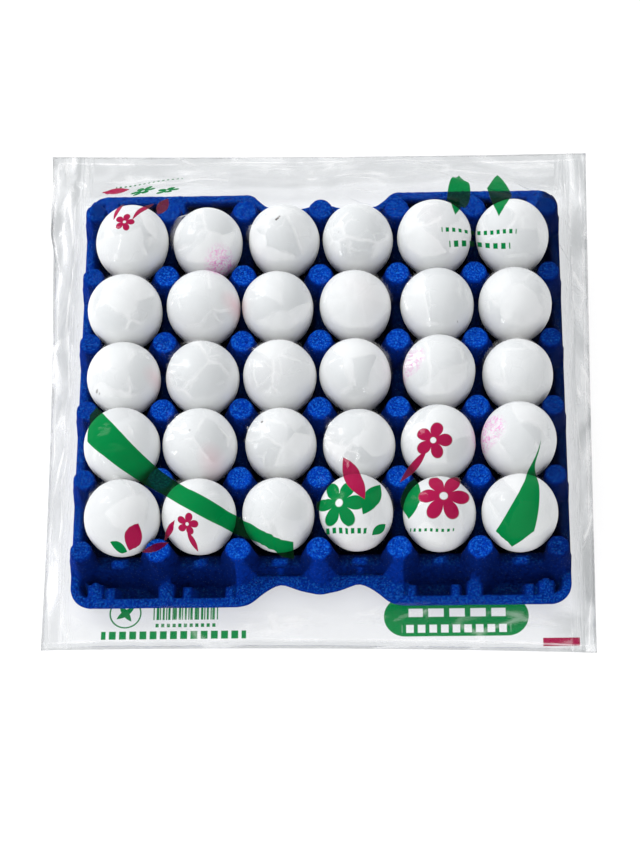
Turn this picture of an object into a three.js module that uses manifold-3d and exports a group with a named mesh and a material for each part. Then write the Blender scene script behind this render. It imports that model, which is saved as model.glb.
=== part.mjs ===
// Egg tray with thirty eggs in a clear bag: a moulded pulp tray, six columns by five rows of
// eggs standing in its cups, and the flat film bag that wraps it. Millimetres, +Z up.
// The origin is the middle of the bag's underside, on the surface that the pack rests on.
import * as THREE from 'three';
import { mergeVertices } from 'three/addons/utils/BufferGeometryUtils.js';
import Module from 'manifold-3d';

// ---- Driving sizes -------------------------------------------------------------------

const COLUMNS = 6;
const ROWS = 5;
const PITCH_X = 47.5;             // one cup to the next along a row
const PITCH_Y = 46;               // one row to the next
const TRAY_WIDTH = 298;           // over the rim, left to right
const TRAY_DEPTH = 283;           // over the rim, front to back
const TRAY_CORNER = 13;           // radius of the rim's corners
const RIM_BAND = 5.5;             // width of the flat rim
const WALL = 2.2;                 // thickness of the moulded pulp

const FILM_SHEET = 1;             // the bag's flat underside
const FIT_GAP = 0.3;              // between pieces that touch
const TRAY_BOTTOM = FILM_SHEET + FIT_GAP;
const FLOOR_TOP = TRAY_BOTTOM + WALL;
const RIM_TOP = 15.5;             // heights above the resting surface
const SADDLE_TOP = 21;
const POST_TOP = 40;

const SADDLE_HALF = 3.2;          // half width of the ridge between two cups, at its top
const SADDLE_FOOT_HALF = 10.5;    // and at the cup floor
const EDGE_POST_INSET = 1.9;      // the outer columns of posts stand in from the grid
const BASIN_TAPER = 3;            // how far the rim's inner wall leans in down to the floor

const RIB_WIDTH = 7;              // ribs that stiffen the front and back rims
const RIB_REACH = 9;
const RIB_OVERLAP = 1;            // how far each rib runs into the rim
const RIB_SPACING = 45.8;         // they stand a little closer together than the cups
const EDGE_RIB_X = 134;
const KNOB_HEIGHT = 2;            // the bump at each rib's inner end
const KNOB_SIZE = 4.5;
const STUB_WIDTH = 4;             // the short ribs between them, in front only
const STUB_REACH = 7;
const STUBS_AT = [-124.5, -79, -53.5, 54.5, 80.5, 124];

const BLOCK_WIDTH = 10;           // the small block on the front and back ridge of each cup
const BLOCK_DEPTH = 5;
const BLOCK_TOP = 22.2;
const BLOCK_OFFSET = 1;           // its middle lies this far outside the row of posts

// Finger notches: [x, depth] from the straight rim, for one half of each long side. In front
// the rim stays flat as far in as the inner notch.
const FRONT_NOTCH = [[47, 0], [41, 2.5], [33, 9.5], [23, 14], [11, 9.8], [0, 7.5]];
const FRONT_INNER_NOTCH = [[50, 0], [49, 13.5], [0, 13.5]];
const BACK_NOTCH = [[45, 0], [35, 10], [12, 10.5], [7, 7.5], [0, 7]];

// Post profiles, radius and height, from the root up to the rounded head.
const POST = [[15.5, TRAY_BOTTOM], [9.2, 25], [6.9, 38.2], [5.2, POST_TOP]];
const EDGE_POST = [[9.5, TRAY_BOTTOM], [7.7, 22], [6.4, 38.2], [4.7, POST_TOP]];
const POST_SIDES = 8;
const HOLLOW_SIDES = 6;

const EGG_BLUNTNESS = 0.12;       // 0 is an ellipsoid, more puts the widest part higher
const EGG_SIDES = 12;
const EGG_RINGS = 5;
const EGG_SEAT_GAP = 0.8;         // clear of the ridges that carry it
const EGG_PIVOT = 10;             // height about which an egg leans in its cup

// Each egg's width and length, and how far its middle leans from the cup's centre, back row first.
const EGG_WIDTHS = [
  [45.5, 43.5, 44.0, 43.5, 46.0, 45.5],
  [46.0, 45.5, 44.0, 44.0, 45.5, 45.0],
  [45.0, 45.0, 44.5, 43.5, 44.5, 43.5],
  [46.0, 45.0, 43.0, 43.5, 45.0, 45.5],
  [45.5, 44.5, 43.0, 44.0, 43.5, 45.5],
];
const EGG_LENGTHS = [
  [55.5, 55.5, 56.5, 56.5, 56.5, 55.5],
  [55.5, 55.5, 55.5, 55.5, 55.5, 55.5],
  [53.0, 55.0, 55.5, 55.5, 55.5, 53.5],
  [55.5, 54.5, 55.5, 55.0, 55.5, 55.5],
  [55.0, 55.0, 55.0, 55.0, 55.0, 55.0],
];
const EGG_LEAN_X = [
  [1.5, 1.0, 1.0, -0.5, -0.5, 0.0],
  [-1.0, -0.5, -2.0, -2.0, 0.5, 0.5],
  [-0.5, 0.0, -0.5, -2.0, 1.0, 1.0],
  [0.0, -0.5, 0.5, 0.0, 0.0, 0.5],
  [1.5, 0.0, -0.5, -1.5, 0.0, 0.0],
];
const EGG_LEAN_Y = [
  [1.5, 1.0, 1.5, 1.5, 1.5, 1.5],
  [-0.5, 1.0, 1.0, 1.0, 0.5, 0.5],
  [-0.5, -1.0, -0.5, 0.5, 1.0, -0.5],
  [-0.5, -0.5, 0.5, -1.0, -0.5, 0.5],
  [-1.5, 0.0, 0.5, 1.0, 0.0, -1.0],
];

// The bag lies a little askew: its corners in order round from the back left, and how far
// the middle of the edge that follows each corner is pulled in.
const BAG_CORNERS = [[-176, 180], [-167, -163], [163, -168], [169, 176]];
const BAG_BOWS = [3, 2, 0.5, 1.5];
const BAG_EDGE_STEPS = 4;
const BAG_SEAM = 7;               // flat margin outside the swell of the film
const BAG_SWELL = 20;             // height of the film where it meets the tray's rim
const BAG_SWELL_EDGE = 2.4;       // and where it reaches the flat margin
const BAG_CLEAR = 1;              // clear of the tray all round

const PULP_BLUE = new THREE.MeshStandardMaterial({ color: 0x0a3fa8, roughness: 0.9, metalness: 0 });
const EGGSHELL = new THREE.MeshStandardMaterial({ color: 0xf3f0ea, roughness: 0.45, metalness: 0 });
const CLEAR_FILM = new THREE.MeshStandardMaterial({
  color: 0xe9edf0, roughness: 0.2, metalness: 0, transparent: true, opacity: 0.35,
});

// ---- Solids --------------------------------------------------------------------------

const wasm = await Module();
wasm.setup();

function solid(geometry) {
  const plain = geometry.clone();
  plain.deleteAttribute('normal');
  plain.deleteAttribute('uv');
  const merged = mergeVertices(plain, 1e-4);
  const mesh = new wasm.Mesh({
    numProp: 3,
    vertProperties: new Float32Array(merged.attributes.position.array),
    triVerts: new Uint32Array(merged.index.array),
  });
  return new wasm.Manifold(mesh);
}

function union(solids) {
  return solids.reduce((whole, next) => whole.add(next));
}

function toGeometry(manifold) {
  const mesh = manifold.getMesh();
  const geometry = new THREE.BufferGeometry();
  geometry.setAttribute('position', new THREE.BufferAttribute(mesh.vertProperties, 3));
  geometry.setIndex(new THREE.BufferAttribute(mesh.triVerts, 1));
  geometry.computeVertexNormals();
  return geometry;
}

// A flat shape raised from one height to another.
function prism(shape, low, high) {
  const geometry = new THREE.ExtrudeGeometry(shape, {
    depth: high - low, bevelEnabled: false, curveSegments: 4,
  });
  return geometry.translate(0, 0, low);
}

// The same, narrower at its foot by `taper` on every side of a shape of the tray's size.
function taperedPrism(shape, low, high, taper) {
  const geometry = prism(shape, low, high);
  const position = geometry.attributes.position;
  const middle = (low + high) / 2;
  for (let i = 0; i < position.count; i += 1) {
    if (position.getZ(i) < middle) {
      position.setX(i, position.getX(i) * (1 - taper / (TRAY_WIDTH / 2)));
      position.setY(i, position.getY(i) * (1 - taper / (TRAY_DEPTH / 2)));
    }
  }
  return geometry;
}

function block(width, depth, low, high, x, y) {
  return new THREE.BoxGeometry(width, depth, high - low).translate(x, y, (low + high) / 2);
}

// A solid of revolution about a vertical axis, with flats that face along X and Y.
function turned(profile, sides, x, y) {
  const points = profile.map(([radius, height]) => new THREE.Vector2(radius, height));
  points.unshift(new THREE.Vector2(0, profile[0][1]));
  points.push(new THREE.Vector2(0, profile[profile.length - 1][1]));
  const geometry = new THREE.LatheGeometry(points, sides);
  return geometry.rotateX(Math.PI / 2).rotateZ(Math.PI / sides).translate(x, y, 0);
}

// A ridge with sloping sides, as long as the tray, lying along X or along Y.
function ridge(topHalf, topHeight, footHalf, footHeight, length, offset, alongX) {
  const shape = new THREE.Shape([
    new THREE.Vector2(-footHalf, footHeight),
    new THREE.Vector2(footHalf, footHeight),
    new THREE.Vector2(topHalf, topHeight),
    new THREE.Vector2(-topHalf, topHeight),
  ]);
  const geometry = new THREE.ExtrudeGeometry(shape, { depth: length, bevelEnabled: false });
  geometry.translate(0, 0, -length / 2).rotateX(Math.PI / 2);
  if (alongX) {
    geometry.rotateZ(Math.PI / 2);
  }
  return geometry.translate(alongX ? 0 : offset, alongX ? offset : 0, 0);
}

// ---- Tray ----------------------------------------------------------------------------

// The rim's outline, drawn in from its true edge by `inset`, with the finger notches.
function trayOutline(inset, frontNotch = FRONT_NOTCH) {
  const x = TRAY_WIDTH / 2 - inset;
  const y = TRAY_DEPTH / 2 - inset;
  const radius = Math.max(TRAY_CORNER - inset, 2);
  const shape = new THREE.Shape();
  shape.moveTo(-x + radius, -y);
  frontNotch.forEach(([at, depth]) => shape.lineTo(-at, -y + depth));
  frontNotch.slice(0, -1).reverse().forEach(([at, depth]) => shape.lineTo(at, -y + depth));
  shape.lineTo(x - radius, -y);
  shape.absarc(x - radius, -y + radius, radius, -Math.PI / 2, 0, false);
  shape.lineTo(x, y - radius);
  shape.absarc(x - radius, y - radius, radius, 0, Math.PI / 2, false);
  BACK_NOTCH.forEach(([at, depth]) => shape.lineTo(at, y - depth));
  BACK_NOTCH.slice(0, -1).reverse().forEach(([at, depth]) => shape.lineTo(-at, y - depth));
  shape.lineTo(-x + radius, y);
  shape.absarc(-x + radius, y - radius, radius, Math.PI / 2, Math.PI, false);
  shape.lineTo(-x, -y + radius);
  shape.absarc(-x + radius, -y + radius, radius, Math.PI, 1.5 * Math.PI, false);
  return shape;
}

function postPlaces() {
  const places = [];
  for (let row = 0; row <= ROWS; row += 1) {
    for (let column = 0; column <= COLUMNS; column += 1) {
      const edge = column === 0 || column === COLUMNS;
      const side = Math.sign(column - COLUMNS / 2);
      const x = (column - COLUMNS / 2) * PITCH_X - (edge ? side * EDGE_POST_INSET : 0);
      places.push({ x, y: (ROWS / 2 - row) * PITCH_Y, edge });
    }
  }
  return places;
}

// Posts and ridges, either as the tray's upper surface or, thinner by the wall, its hollows.
function lattice(wall) {
  const narrower = 0.9 * wall;
  const foot = wall > 0 ? -WALL : 0;
  const shrink = ([radius, height], index) => (
    [radius - narrower, index === 0 ? TRAY_BOTTOM + foot : height - wall]
  );
  const posts = postPlaces().map(({ x, y, edge }) => {
    const profile = (edge ? EDGE_POST : POST).map(shrink);
    // A hollow ends in a plain flat, without the head's rounding.
    return wall > 0
      ? solid(turned(profile.slice(0, -1), HOLLOW_SIDES, x, y))
      : solid(turned(profile, POST_SIDES, x, y));
  });
  const slope = (SADDLE_FOOT_HALF - SADDLE_HALF) / (SADDLE_TOP - FLOOR_TOP);
  const topHeight = SADDLE_TOP - wall;
  const footHeight = TRAY_BOTTOM + foot;
  const topHalf = SADDLE_HALF - narrower;
  const footHalf = topHalf + slope * (topHeight - footHeight);
  const ridges = [];
  for (let row = 0; row <= ROWS; row += 1) {
    const length = TRAY_WIDTH - 2 * RIM_BAND;
    const y = (ROWS / 2 - row) * PITCH_Y;
    ridges.push(solid(ridge(topHalf, topHeight, footHalf, footHeight, length, y, true)));
  }
  for (let column = 1; column < COLUMNS; column += 1) {
    const length = ROWS * PITCH_Y;
    const x = (column - COLUMNS / 2) * PITCH_X;
    ridges.push(solid(ridge(topHalf, topHeight, footHalf, footHeight, length, x, false)));
  }
  return union([...posts, ...ridges]);
}

// Ribs on the inside of the front and back rims: one with a knob at each post that has room,
// and shorter stubs in front. In the notch only the knobs stand on the rim's inner edge.
function rimRibs() {
  const ribs = [];
  const inner = TRAY_DEPTH / 2 - RIM_BAND;
  for (const side of [-1, 1]) {
    for (let column = 0; column <= COLUMNS; column += 1) {
      const x = THREE.MathUtils.clamp(
        (column - COLUMNS / 2) * RIB_SPACING, -EDGE_RIB_X, EDGE_RIB_X,
      );
      const knobTop = RIM_TOP + KNOB_HEIGHT;
      if (column !== COLUMNS / 2) {
        const y = side * (inner + RIB_OVERLAP - (RIB_REACH + RIB_OVERLAP) / 2);
        ribs.push(solid(block(RIB_WIDTH, RIB_REACH + RIB_OVERLAP, TRAY_BOTTOM, RIM_TOP, x, y)));
      }
      if (side < 0) {
        const inNotch = Math.abs(x) < FRONT_INNER_NOTCH[1][0];
        const y = -inner + (inNotch ? FRONT_INNER_NOTCH[1][1] - KNOB_SIZE / 2 + 1 : RIB_REACH);
        ribs.push(solid(block(KNOB_SIZE, KNOB_SIZE, TRAY_BOTTOM, knobTop, x, y)));
      }
    }
  }
  for (const x of STUBS_AT) {
    const y = -inner - RIB_OVERLAP + (STUB_REACH + RIB_OVERLAP) / 2;
    ribs.push(solid(block(STUB_WIDTH, STUB_REACH + RIB_OVERLAP, TRAY_BOTTOM, RIM_TOP, x, y)));
  }
  return union(ribs);
}

// The small blocks on the outermost ridges.
function ridgeBlocks() {
  const blocks = [];
  for (const side of [-1, 1]) {
    for (let column = 0; column < COLUMNS; column += 1) {
      const x = (column + 0.5 - COLUMNS / 2) * PITCH_X;
      const y = side * ((ROWS * PITCH_Y) / 2 + BLOCK_OFFSET);
      blocks.push(solid(block(BLOCK_WIDTH, BLOCK_DEPTH, SADDLE_TOP - 1, BLOCK_TOP, x, y)));
    }
  }
  return union(blocks);
}

function makeTray() {
  const outline = trayOutline(0);
  const basin = solid(taperedPrism(
    trayOutline(RIM_BAND, FRONT_INNER_NOTCH), FLOOR_TOP, RIM_TOP, BASIN_TAPER,
  ));
  const dish = solid(prism(outline, TRAY_BOTTOM, RIM_TOP)).subtract(basin);
  const whole = solid(prism(outline, TRAY_BOTTOM, POST_TOP + WALL));
  const posts = lattice(0);
  const ribs = rimRibs();
  const upper = union([dish, posts, ribs, ridgeBlocks()]).intersect(whole);

  const bodyOutline = trayOutline(RIM_BAND - WALL, FRONT_INNER_NOTCH);
  const body = solid(taperedPrism(bodyOutline, TRAY_BOTTOM - WALL, RIM_TOP, BASIN_TAPER));
  const underRim = solid(prism(trayOutline(-WALL), -WALL, RIM_TOP - WALL));
  const outside = underRim.subtract(union([body, posts, ribs]));
  return upper.subtract(outside).subtract(lattice(WALL));
}

// ---- Eggs ----------------------------------------------------------------------------

// Radius of an egg of unit half width at `u`, from -1 at its point to 1 at its blunt end.
function eggRadius(u) {
  const widest = 1 + EGG_BLUNTNESS ** 2 / 2;
  return Math.sqrt(Math.max(1 - u * u, 0)) * (1 + EGG_BLUNTNESS * u) / widest;
}

// How far along its lower half an egg is as wide as `fraction` of its greatest width.
function seatAt(fraction) {
  let low = -1;
  let high = 0;
  for (let step = 0; step < 30; step += 1) {
    const middle = (low + high) / 2;
    if (eggRadius(middle) < fraction) {
      low = middle;
    } else {
      high = middle;
    }
  }
  return low;
}

function makeEgg(row, column) {
  const half = EGG_WIDTHS[row][column] / 2;
  const halfLength = EGG_LENGTHS[row][column] / 2;
  const leanX = EGG_LEAN_X[row][column];
  const leanY = EGG_LEAN_Y[row][column];
  const points = [];
  for (let ring = 0; ring <= EGG_RINGS + 1; ring += 1) {
    const u = -Math.cos((Math.PI * ring) / (EGG_RINGS + 1));
    const radius = ring === 0 || ring === EGG_RINGS + 1 ? 0 : half * eggRadius(u);
    points.push(new THREE.Vector2(radius, u * halfLength));
  }
  const geometry = new THREE.LatheGeometry(points, EGG_SIDES).rotateX(Math.PI / 2);

  const roomX = (PITCH_X - Math.abs(leanX)) / 2;
  const roomY = (PITCH_Y - Math.abs(leanY)) / 2;
  const seatHalf = Math.min(roomX, roomY) - SADDLE_HALF - EGG_SEAT_GAP;
  const middle = SADDLE_TOP - seatAt(seatHalf / half) * halfLength;
  const arm = middle - EGG_PIVOT;
  const egg = new THREE.Mesh(geometry, EGGSHELL);
  egg.name = `egg_r${row + 1}_c${column + 1}`;
  egg.position.z = arm;

  const cup = new THREE.Group();
  cup.position.set(
    (column + 0.5 - COLUMNS / 2) * PITCH_X, ((ROWS - 1) / 2 - row) * PITCH_Y, EGG_PIVOT,
  );
  cup.rotation.set(-Math.atan(leanY / arm), Math.atan(leanX / arm), 0);
  cup.add(egg);
  return cup;
}

// ---- Bag -----------------------------------------------------------------------------

// The bag's outline, drawn in by `inset` towards its middle.
function bagOutline(inset) {
  const corners = BAG_CORNERS.map(([x, y]) => (
    new THREE.Vector2(x - Math.sign(x) * inset, y - Math.sign(y) * inset)
  ));
  const points = [];
  corners.forEach((corner, index) => {
    const next = corners[(index + 1) % corners.length];
    const along = next.clone().sub(corner);
    for (let step = 0; step < BAG_EDGE_STEPS; step += 1) {
      const share = step / BAG_EDGE_STEPS;
      const bow = 4 * BAG_BOWS[index] * share * (1 - share) / along.length();
      points.push(new THREE.Vector2(
        corner.x + along.x * share - along.y * bow, corner.y + along.y * share + along.x * bow,
      ));
    }
  });
  return new THREE.Shape(points);
}

// The film standing off the table round the tray: high at the rim, thin at the margin.
function makeSwell() {
  const shape = bagOutline(BAG_SEAM);
  const x = TRAY_WIDTH / 2 + BAG_CLEAR;
  const y = TRAY_DEPTH / 2 + BAG_CLEAR;
  const hole = new THREE.Path([
    new THREE.Vector2(-x, -y), new THREE.Vector2(-x, y),
    new THREE.Vector2(x, y), new THREE.Vector2(x, -y),
  ]);
  shape.holes.push(hole);
  const geometry = prism(shape, FILM_SHEET / 2, BAG_SWELL);
  const position = geometry.attributes.position;
  for (let i = 0; i < position.count; i += 1) {
    const outside = Math.abs(position.getX(i)) > x + 1 || Math.abs(position.getY(i)) > y + 1;
    if (outside && position.getZ(i) > BAG_SWELL / 2) {
      position.setZ(i, BAG_SWELL_EDGE);
    }
  }
  return geometry;
}

function makeBag() {
  return solid(prism(bagOutline(0), 0, FILM_SHEET)).add(solid(makeSwell()));
}

// ---- The pack ------------------------------------------------------------------------

function named(name, geometry, material) {
  const mesh = new THREE.Mesh(geometry, material);
  mesh.name = name;
  return mesh;
}

const pack = new THREE.Group();
pack.name = 'egg_pack';
pack.add(named('bag', toGeometry(makeBag()), CLEAR_FILM));
pack.add(named('tray', toGeometry(makeTray()), PULP_BLUE));
for (let row = 0; row < ROWS; row += 1) {
  for (let column = 0; column < COLUMNS; column += 1) {
    pack.add(makeEgg(row, column));
  }
}

export default pack;
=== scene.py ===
"""Bagged tray of eggs: the looks of a pulp egg tray, its thirty eggs and their clear film bag.

Laid out as an add-on: the sizes and colours are properties, each group of pieces has an
operator, and a panel in the 3D view's sidebar lists them. Lengths in the properties are metres;
the shapes are worked out in millimetres and turned into metres when a mesh is made.
"""
import math

import bpy
import numpy as np
from mathutils import Matrix, Vector
from mathutils.bvhtree import BVHTree


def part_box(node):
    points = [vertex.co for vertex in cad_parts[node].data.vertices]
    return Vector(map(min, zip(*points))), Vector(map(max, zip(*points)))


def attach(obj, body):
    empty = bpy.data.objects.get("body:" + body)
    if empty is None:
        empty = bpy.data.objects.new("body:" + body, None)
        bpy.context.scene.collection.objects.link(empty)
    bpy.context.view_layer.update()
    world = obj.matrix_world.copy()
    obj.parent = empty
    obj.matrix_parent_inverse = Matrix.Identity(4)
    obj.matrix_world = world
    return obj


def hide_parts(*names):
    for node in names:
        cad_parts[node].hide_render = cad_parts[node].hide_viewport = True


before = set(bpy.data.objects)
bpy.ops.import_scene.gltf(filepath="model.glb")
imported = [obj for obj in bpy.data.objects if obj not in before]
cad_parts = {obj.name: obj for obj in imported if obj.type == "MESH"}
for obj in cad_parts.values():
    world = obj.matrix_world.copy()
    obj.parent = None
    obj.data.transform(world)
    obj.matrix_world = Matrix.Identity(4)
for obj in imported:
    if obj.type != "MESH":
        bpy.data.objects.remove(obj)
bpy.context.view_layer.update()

bl_info = {
    "name": "Bagged Tray of Eggs",
    "version": (1, 0, 0),
    "blender": (4, 5, 0),
    "location": "View3D > Sidebar > Eggs",
    "description": "Builds a moulded pulp tray of eggs in a clear film bag",
    "category": "Add Mesh",
}

BODY = "root"
MM = 0.001

TRAY_LOW, TRAY_HIGH = (np.array(corner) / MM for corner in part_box("tray"))
BAG_LOW, BAG_HIGH = (np.array(corner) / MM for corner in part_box("bag"))
EGG_NODES = sorted(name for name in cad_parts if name.startswith("egg_"))


# ---- Properties ----------------------------------------------------------------------

def length(name, description, default):
    return bpy.props.FloatProperty(
        name=name, description=description, default=default, min=0.0, unit="LENGTH", precision=5,
    )


def fraction(name, description, default):
    return bpy.props.FloatProperty(
        name=name, description=description, default=default, min=0.0, max=1.0, subtype="FACTOR",
    )


def colour(name, description, default):
    return bpy.props.FloatVectorProperty(
        name=name, description=description, default=default, size=3, min=0.0, max=1.0,
        subtype="COLOR",
    )


def angle(name, description, degrees):
    return bpy.props.FloatProperty(
        name=name, description=description, default=math.radians(degrees), subtype="ANGLE",
    )


def whole(name, description, default, **limits):
    return bpy.props.IntProperty(name=name, description=description, default=default, **limits)


class TrayLooks(bpy.types.PropertyGroup):
    pitch_x: length("Cup Pitch, X", "One cup to the next along a row", 0.0475)
    pitch_y: length("Cup Pitch, Y", "One row of cups to the next", 0.046)
    wall: length("Wall", "Thickness of the moulded pulp", 0.0022)
    rim_height: length("Rim Height", "Height of the flat rim", 0.0155)
    rim_band: length("Rim Width", "Width of the flat rim", 0.0055)
    ridge_height: length("Ridge Height", "Height of the ridge between two cups", 0.021)
    unevenness: length("Unevenness", "How far the pulp's surface strays", 0.0004)
    pulp: colour("Pulp", "Colour of the dyed pulp", (0.0, 0.052, 0.52))
    pulp_dark: colour("Pulp, Deep", "Colour between the fibres", (0.0, 0.012, 0.17))
    pulp_pale: colour("Pulp, Worn", "Colour of the rubbed fibre ends", (0.012, 0.17, 0.72))


class EggLooks(bpy.types.PropertyGroup):
    rings: whole("Rings", "Rings from pole to pole of each egg", 34, min=8)
    segments: whole("Segments", "Segments round each egg", 52, min=8)
    bluntness: fraction("Bluntness", "How much the widest part lies above the middle", 0.12)
    unevenness: length("Unevenness", "How far a shell strays from a true egg", 0.00035)
    seed: whole("Seed", "Seed of the unevenness and of the tones", 7)
    shell: colour("Shell", "Colour of the shells", (0.735, 0.75, 0.757))
    # Painted light: the shells' lower ends are painted paler, making up for the shade that falls on
    # them.
    shell_low_painted_light: colour("Shell, Low", "Colour of the shells near their lower ends", (0.97, 0.96, 0.93))
    blush: colour("Blush", "Colour of the warm patches on some shells", (0.77, 0.57, 0.60))
    ink: colour("Ink", "Colour of the smudged stamp ink", (0.78, 0.22, 0.58))
    speck: colour("Speck", "Colour of the small dark specks", (0.05, 0.03, 0.02))


class FilmLooks(bpy.types.PropertyGroup):
    cells: whole(
        "Cells", "Cells along each side of the film, a multiple of sixteen", 256, min=32, step=16,
    )
    clearance: length("Clearance", "Gap between the film and what it lies on", 0.0003)
    slack: fraction("Slack", "Spare length of the film all over", 0.002)
    fullness: fraction("Fullness", "How much of its widest width the film keeps at its ends", 0.15)
    edge_slack: fraction("Edge Slack", "Spare width of the film in its side margins", 0.05)
    crumple: length("Crumple", "Height of the small facets", 0.0009)
    weight: bpy.props.FloatProperty(
        name="Weight", description="How hard the film is drawn down at each step",
        default=0.002, min=0.0,
    )
    stiffness: fraction("Stiffness", "How much each step evens out a fold", 0.02)
    seed: whole("Seed", "Seed of the creases", 3)
    tint: colour("Tint", "What the clear film lets through", (0.945, 0.950, 0.955))
    # Painted shade: the film's colour where it is painted greyest, on the margins and the eggs' facets,
    # and along the sealed strip.
    tint_shade_and_seal: colour("Folded Tint", "The same where it's creased", (0.70, 0.71, 0.715))
    green: colour("Green Ink", "Colour of the green print", (0.0, 0.25, 0.06))
    magenta: colour("Magenta Ink", "Colour of the magenta print", (0.42, 0.0, 0.065))


class StageLooks(bpy.types.PropertyGroup):
    floor: colour("Floor", "Colour of the floor", (0.50, 0.50, 0.50))
    floor_glow: fraction("Floor Glow", "Light that the floor gives of its own", 0.56)
    elevation: angle("Elevation", "Camera's height above the horizon", 64.0)
    azimuth: angle("Azimuth", "Camera's turn round the pack", 5.076)
    roll: angle("Roll", "Camera's turn about its own line of sight", -5.329)
    distance: length("Distance", "Camera to the pack's middle", 1.6672)
    aim: bpy.props.FloatVectorProperty(
        name="Aim", description="Point that the camera looks at",
        default=(0.00042, -0.03593, 0.040), size=3, subtype="TRANSLATION", unit="LENGTH",
    )
    lens: bpy.props.FloatProperty(
        name="Lens", description="Focal length on a 36 mm sensor, in millimetres", default=117.2,
    )


# ---- Meshes and noise ----------------------------------------------------------------

NOISE_SPAN = 800                  # mm, width of the square that every noise covers


def ramp(value, low, high):
    """0 up to `low`, 1 from `high` on, and a smooth rise between them."""
    t = np.clip((value - low) / (high - low), 0, 1)
    return t * t * (3 - 2 * t)


def blend_cell(grid, i, j, s, t):
    """Value at s and t, each from 0 to 1, across cell i, j of a grid of numbers."""
    low = grid[i, j] * (1 - s) + grid[i + 1, j] * s
    high = grid[i, j + 1] * (1 - s) + grid[i + 1, j + 1] * s
    return low * (1 - t) + high * t


def smooth_noise(x, y, size, seed):
    """Soft noise of about one hill to a `size`, between about -1 and 1, at each x and y."""
    cells = 1 + math.ceil(NOISE_SPAN / size)
    lattice = np.random.default_rng(seed).uniform(-1, 1, (cells + 2, cells + 2))
    u = np.clip((x + NOISE_SPAN / 2) / size, 0, cells)
    v = np.clip((y + NOISE_SPAN / 2) / size, 0, cells)
    i = u.astype(int)
    j = v.astype(int)
    return blend_cell(lattice, i, j, ramp(u - i, 0, 1), ramp(v - j, 0, 1))


def smooth_max(a, b, reach):
    """The higher of two surfaces, with a fillet where they meet."""
    near = np.maximum(reach - np.abs(a - b), 0) / reach
    return np.maximum(a, b) + near * near * reach / 4


def grid_numbers(columns, rows, start):
    """Vertex numbers of a grid, row by row from `start`."""
    return start + np.arange(columns * rows).reshape(rows, columns)


def grid_quads(columns, rows, start=0, upward=True):
    """Quads of such a grid, facing up or down."""
    index = grid_numbers(columns, rows, start)
    corners = [index[:-1, :-1], index[:-1, 1:], index[1:, 1:], index[1:, :-1]]
    if not upward:
        corners.reverse()
    return np.stack([corner.ravel() for corner in corners], axis=1)


def grid_border(columns, rows, start=0):
    """Vertex numbers round the edge of such a grid, anticlockwise seen from above."""
    index = grid_numbers(columns, rows, start)
    return np.concatenate([
        index[0, :-1], index[:-1, -1], index[-1, :0:-1], index[:0:-1, 0],
    ])


def border_quads(upper, lower):
    """The band of quads between two borders of as many vertices."""
    return np.stack([np.roll(upper, -1), upper, lower, np.roll(lower, -1)], axis=1)


def new_object(name, data):
    """An object in the scene's collection."""
    made = bpy.data.objects.new(name, data)
    bpy.context.collection.objects.link(made)
    return made


def new_piece(name, points, faces, material):
    """A smooth mesh object from points in millimetres."""
    mesh = bpy.data.meshes.new(name)
    mesh.from_pydata((points * MM).tolist(), [], faces)
    mesh.validate()
    mesh.shade_smooth()
    mesh.materials.append(material)
    return new_object(name, mesh)


def store_values(mesh, name, values):
    """Keeps a number at each vertex, for a material to read."""
    mesh.attributes.new(name, "FLOAT", "POINT").data.foreach_set("value", values)


def finish_piece(piece, nodes):
    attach(piece, BODY)
    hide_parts(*nodes)


# ---- Node trees ----------------------------------------------------------------------

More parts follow.
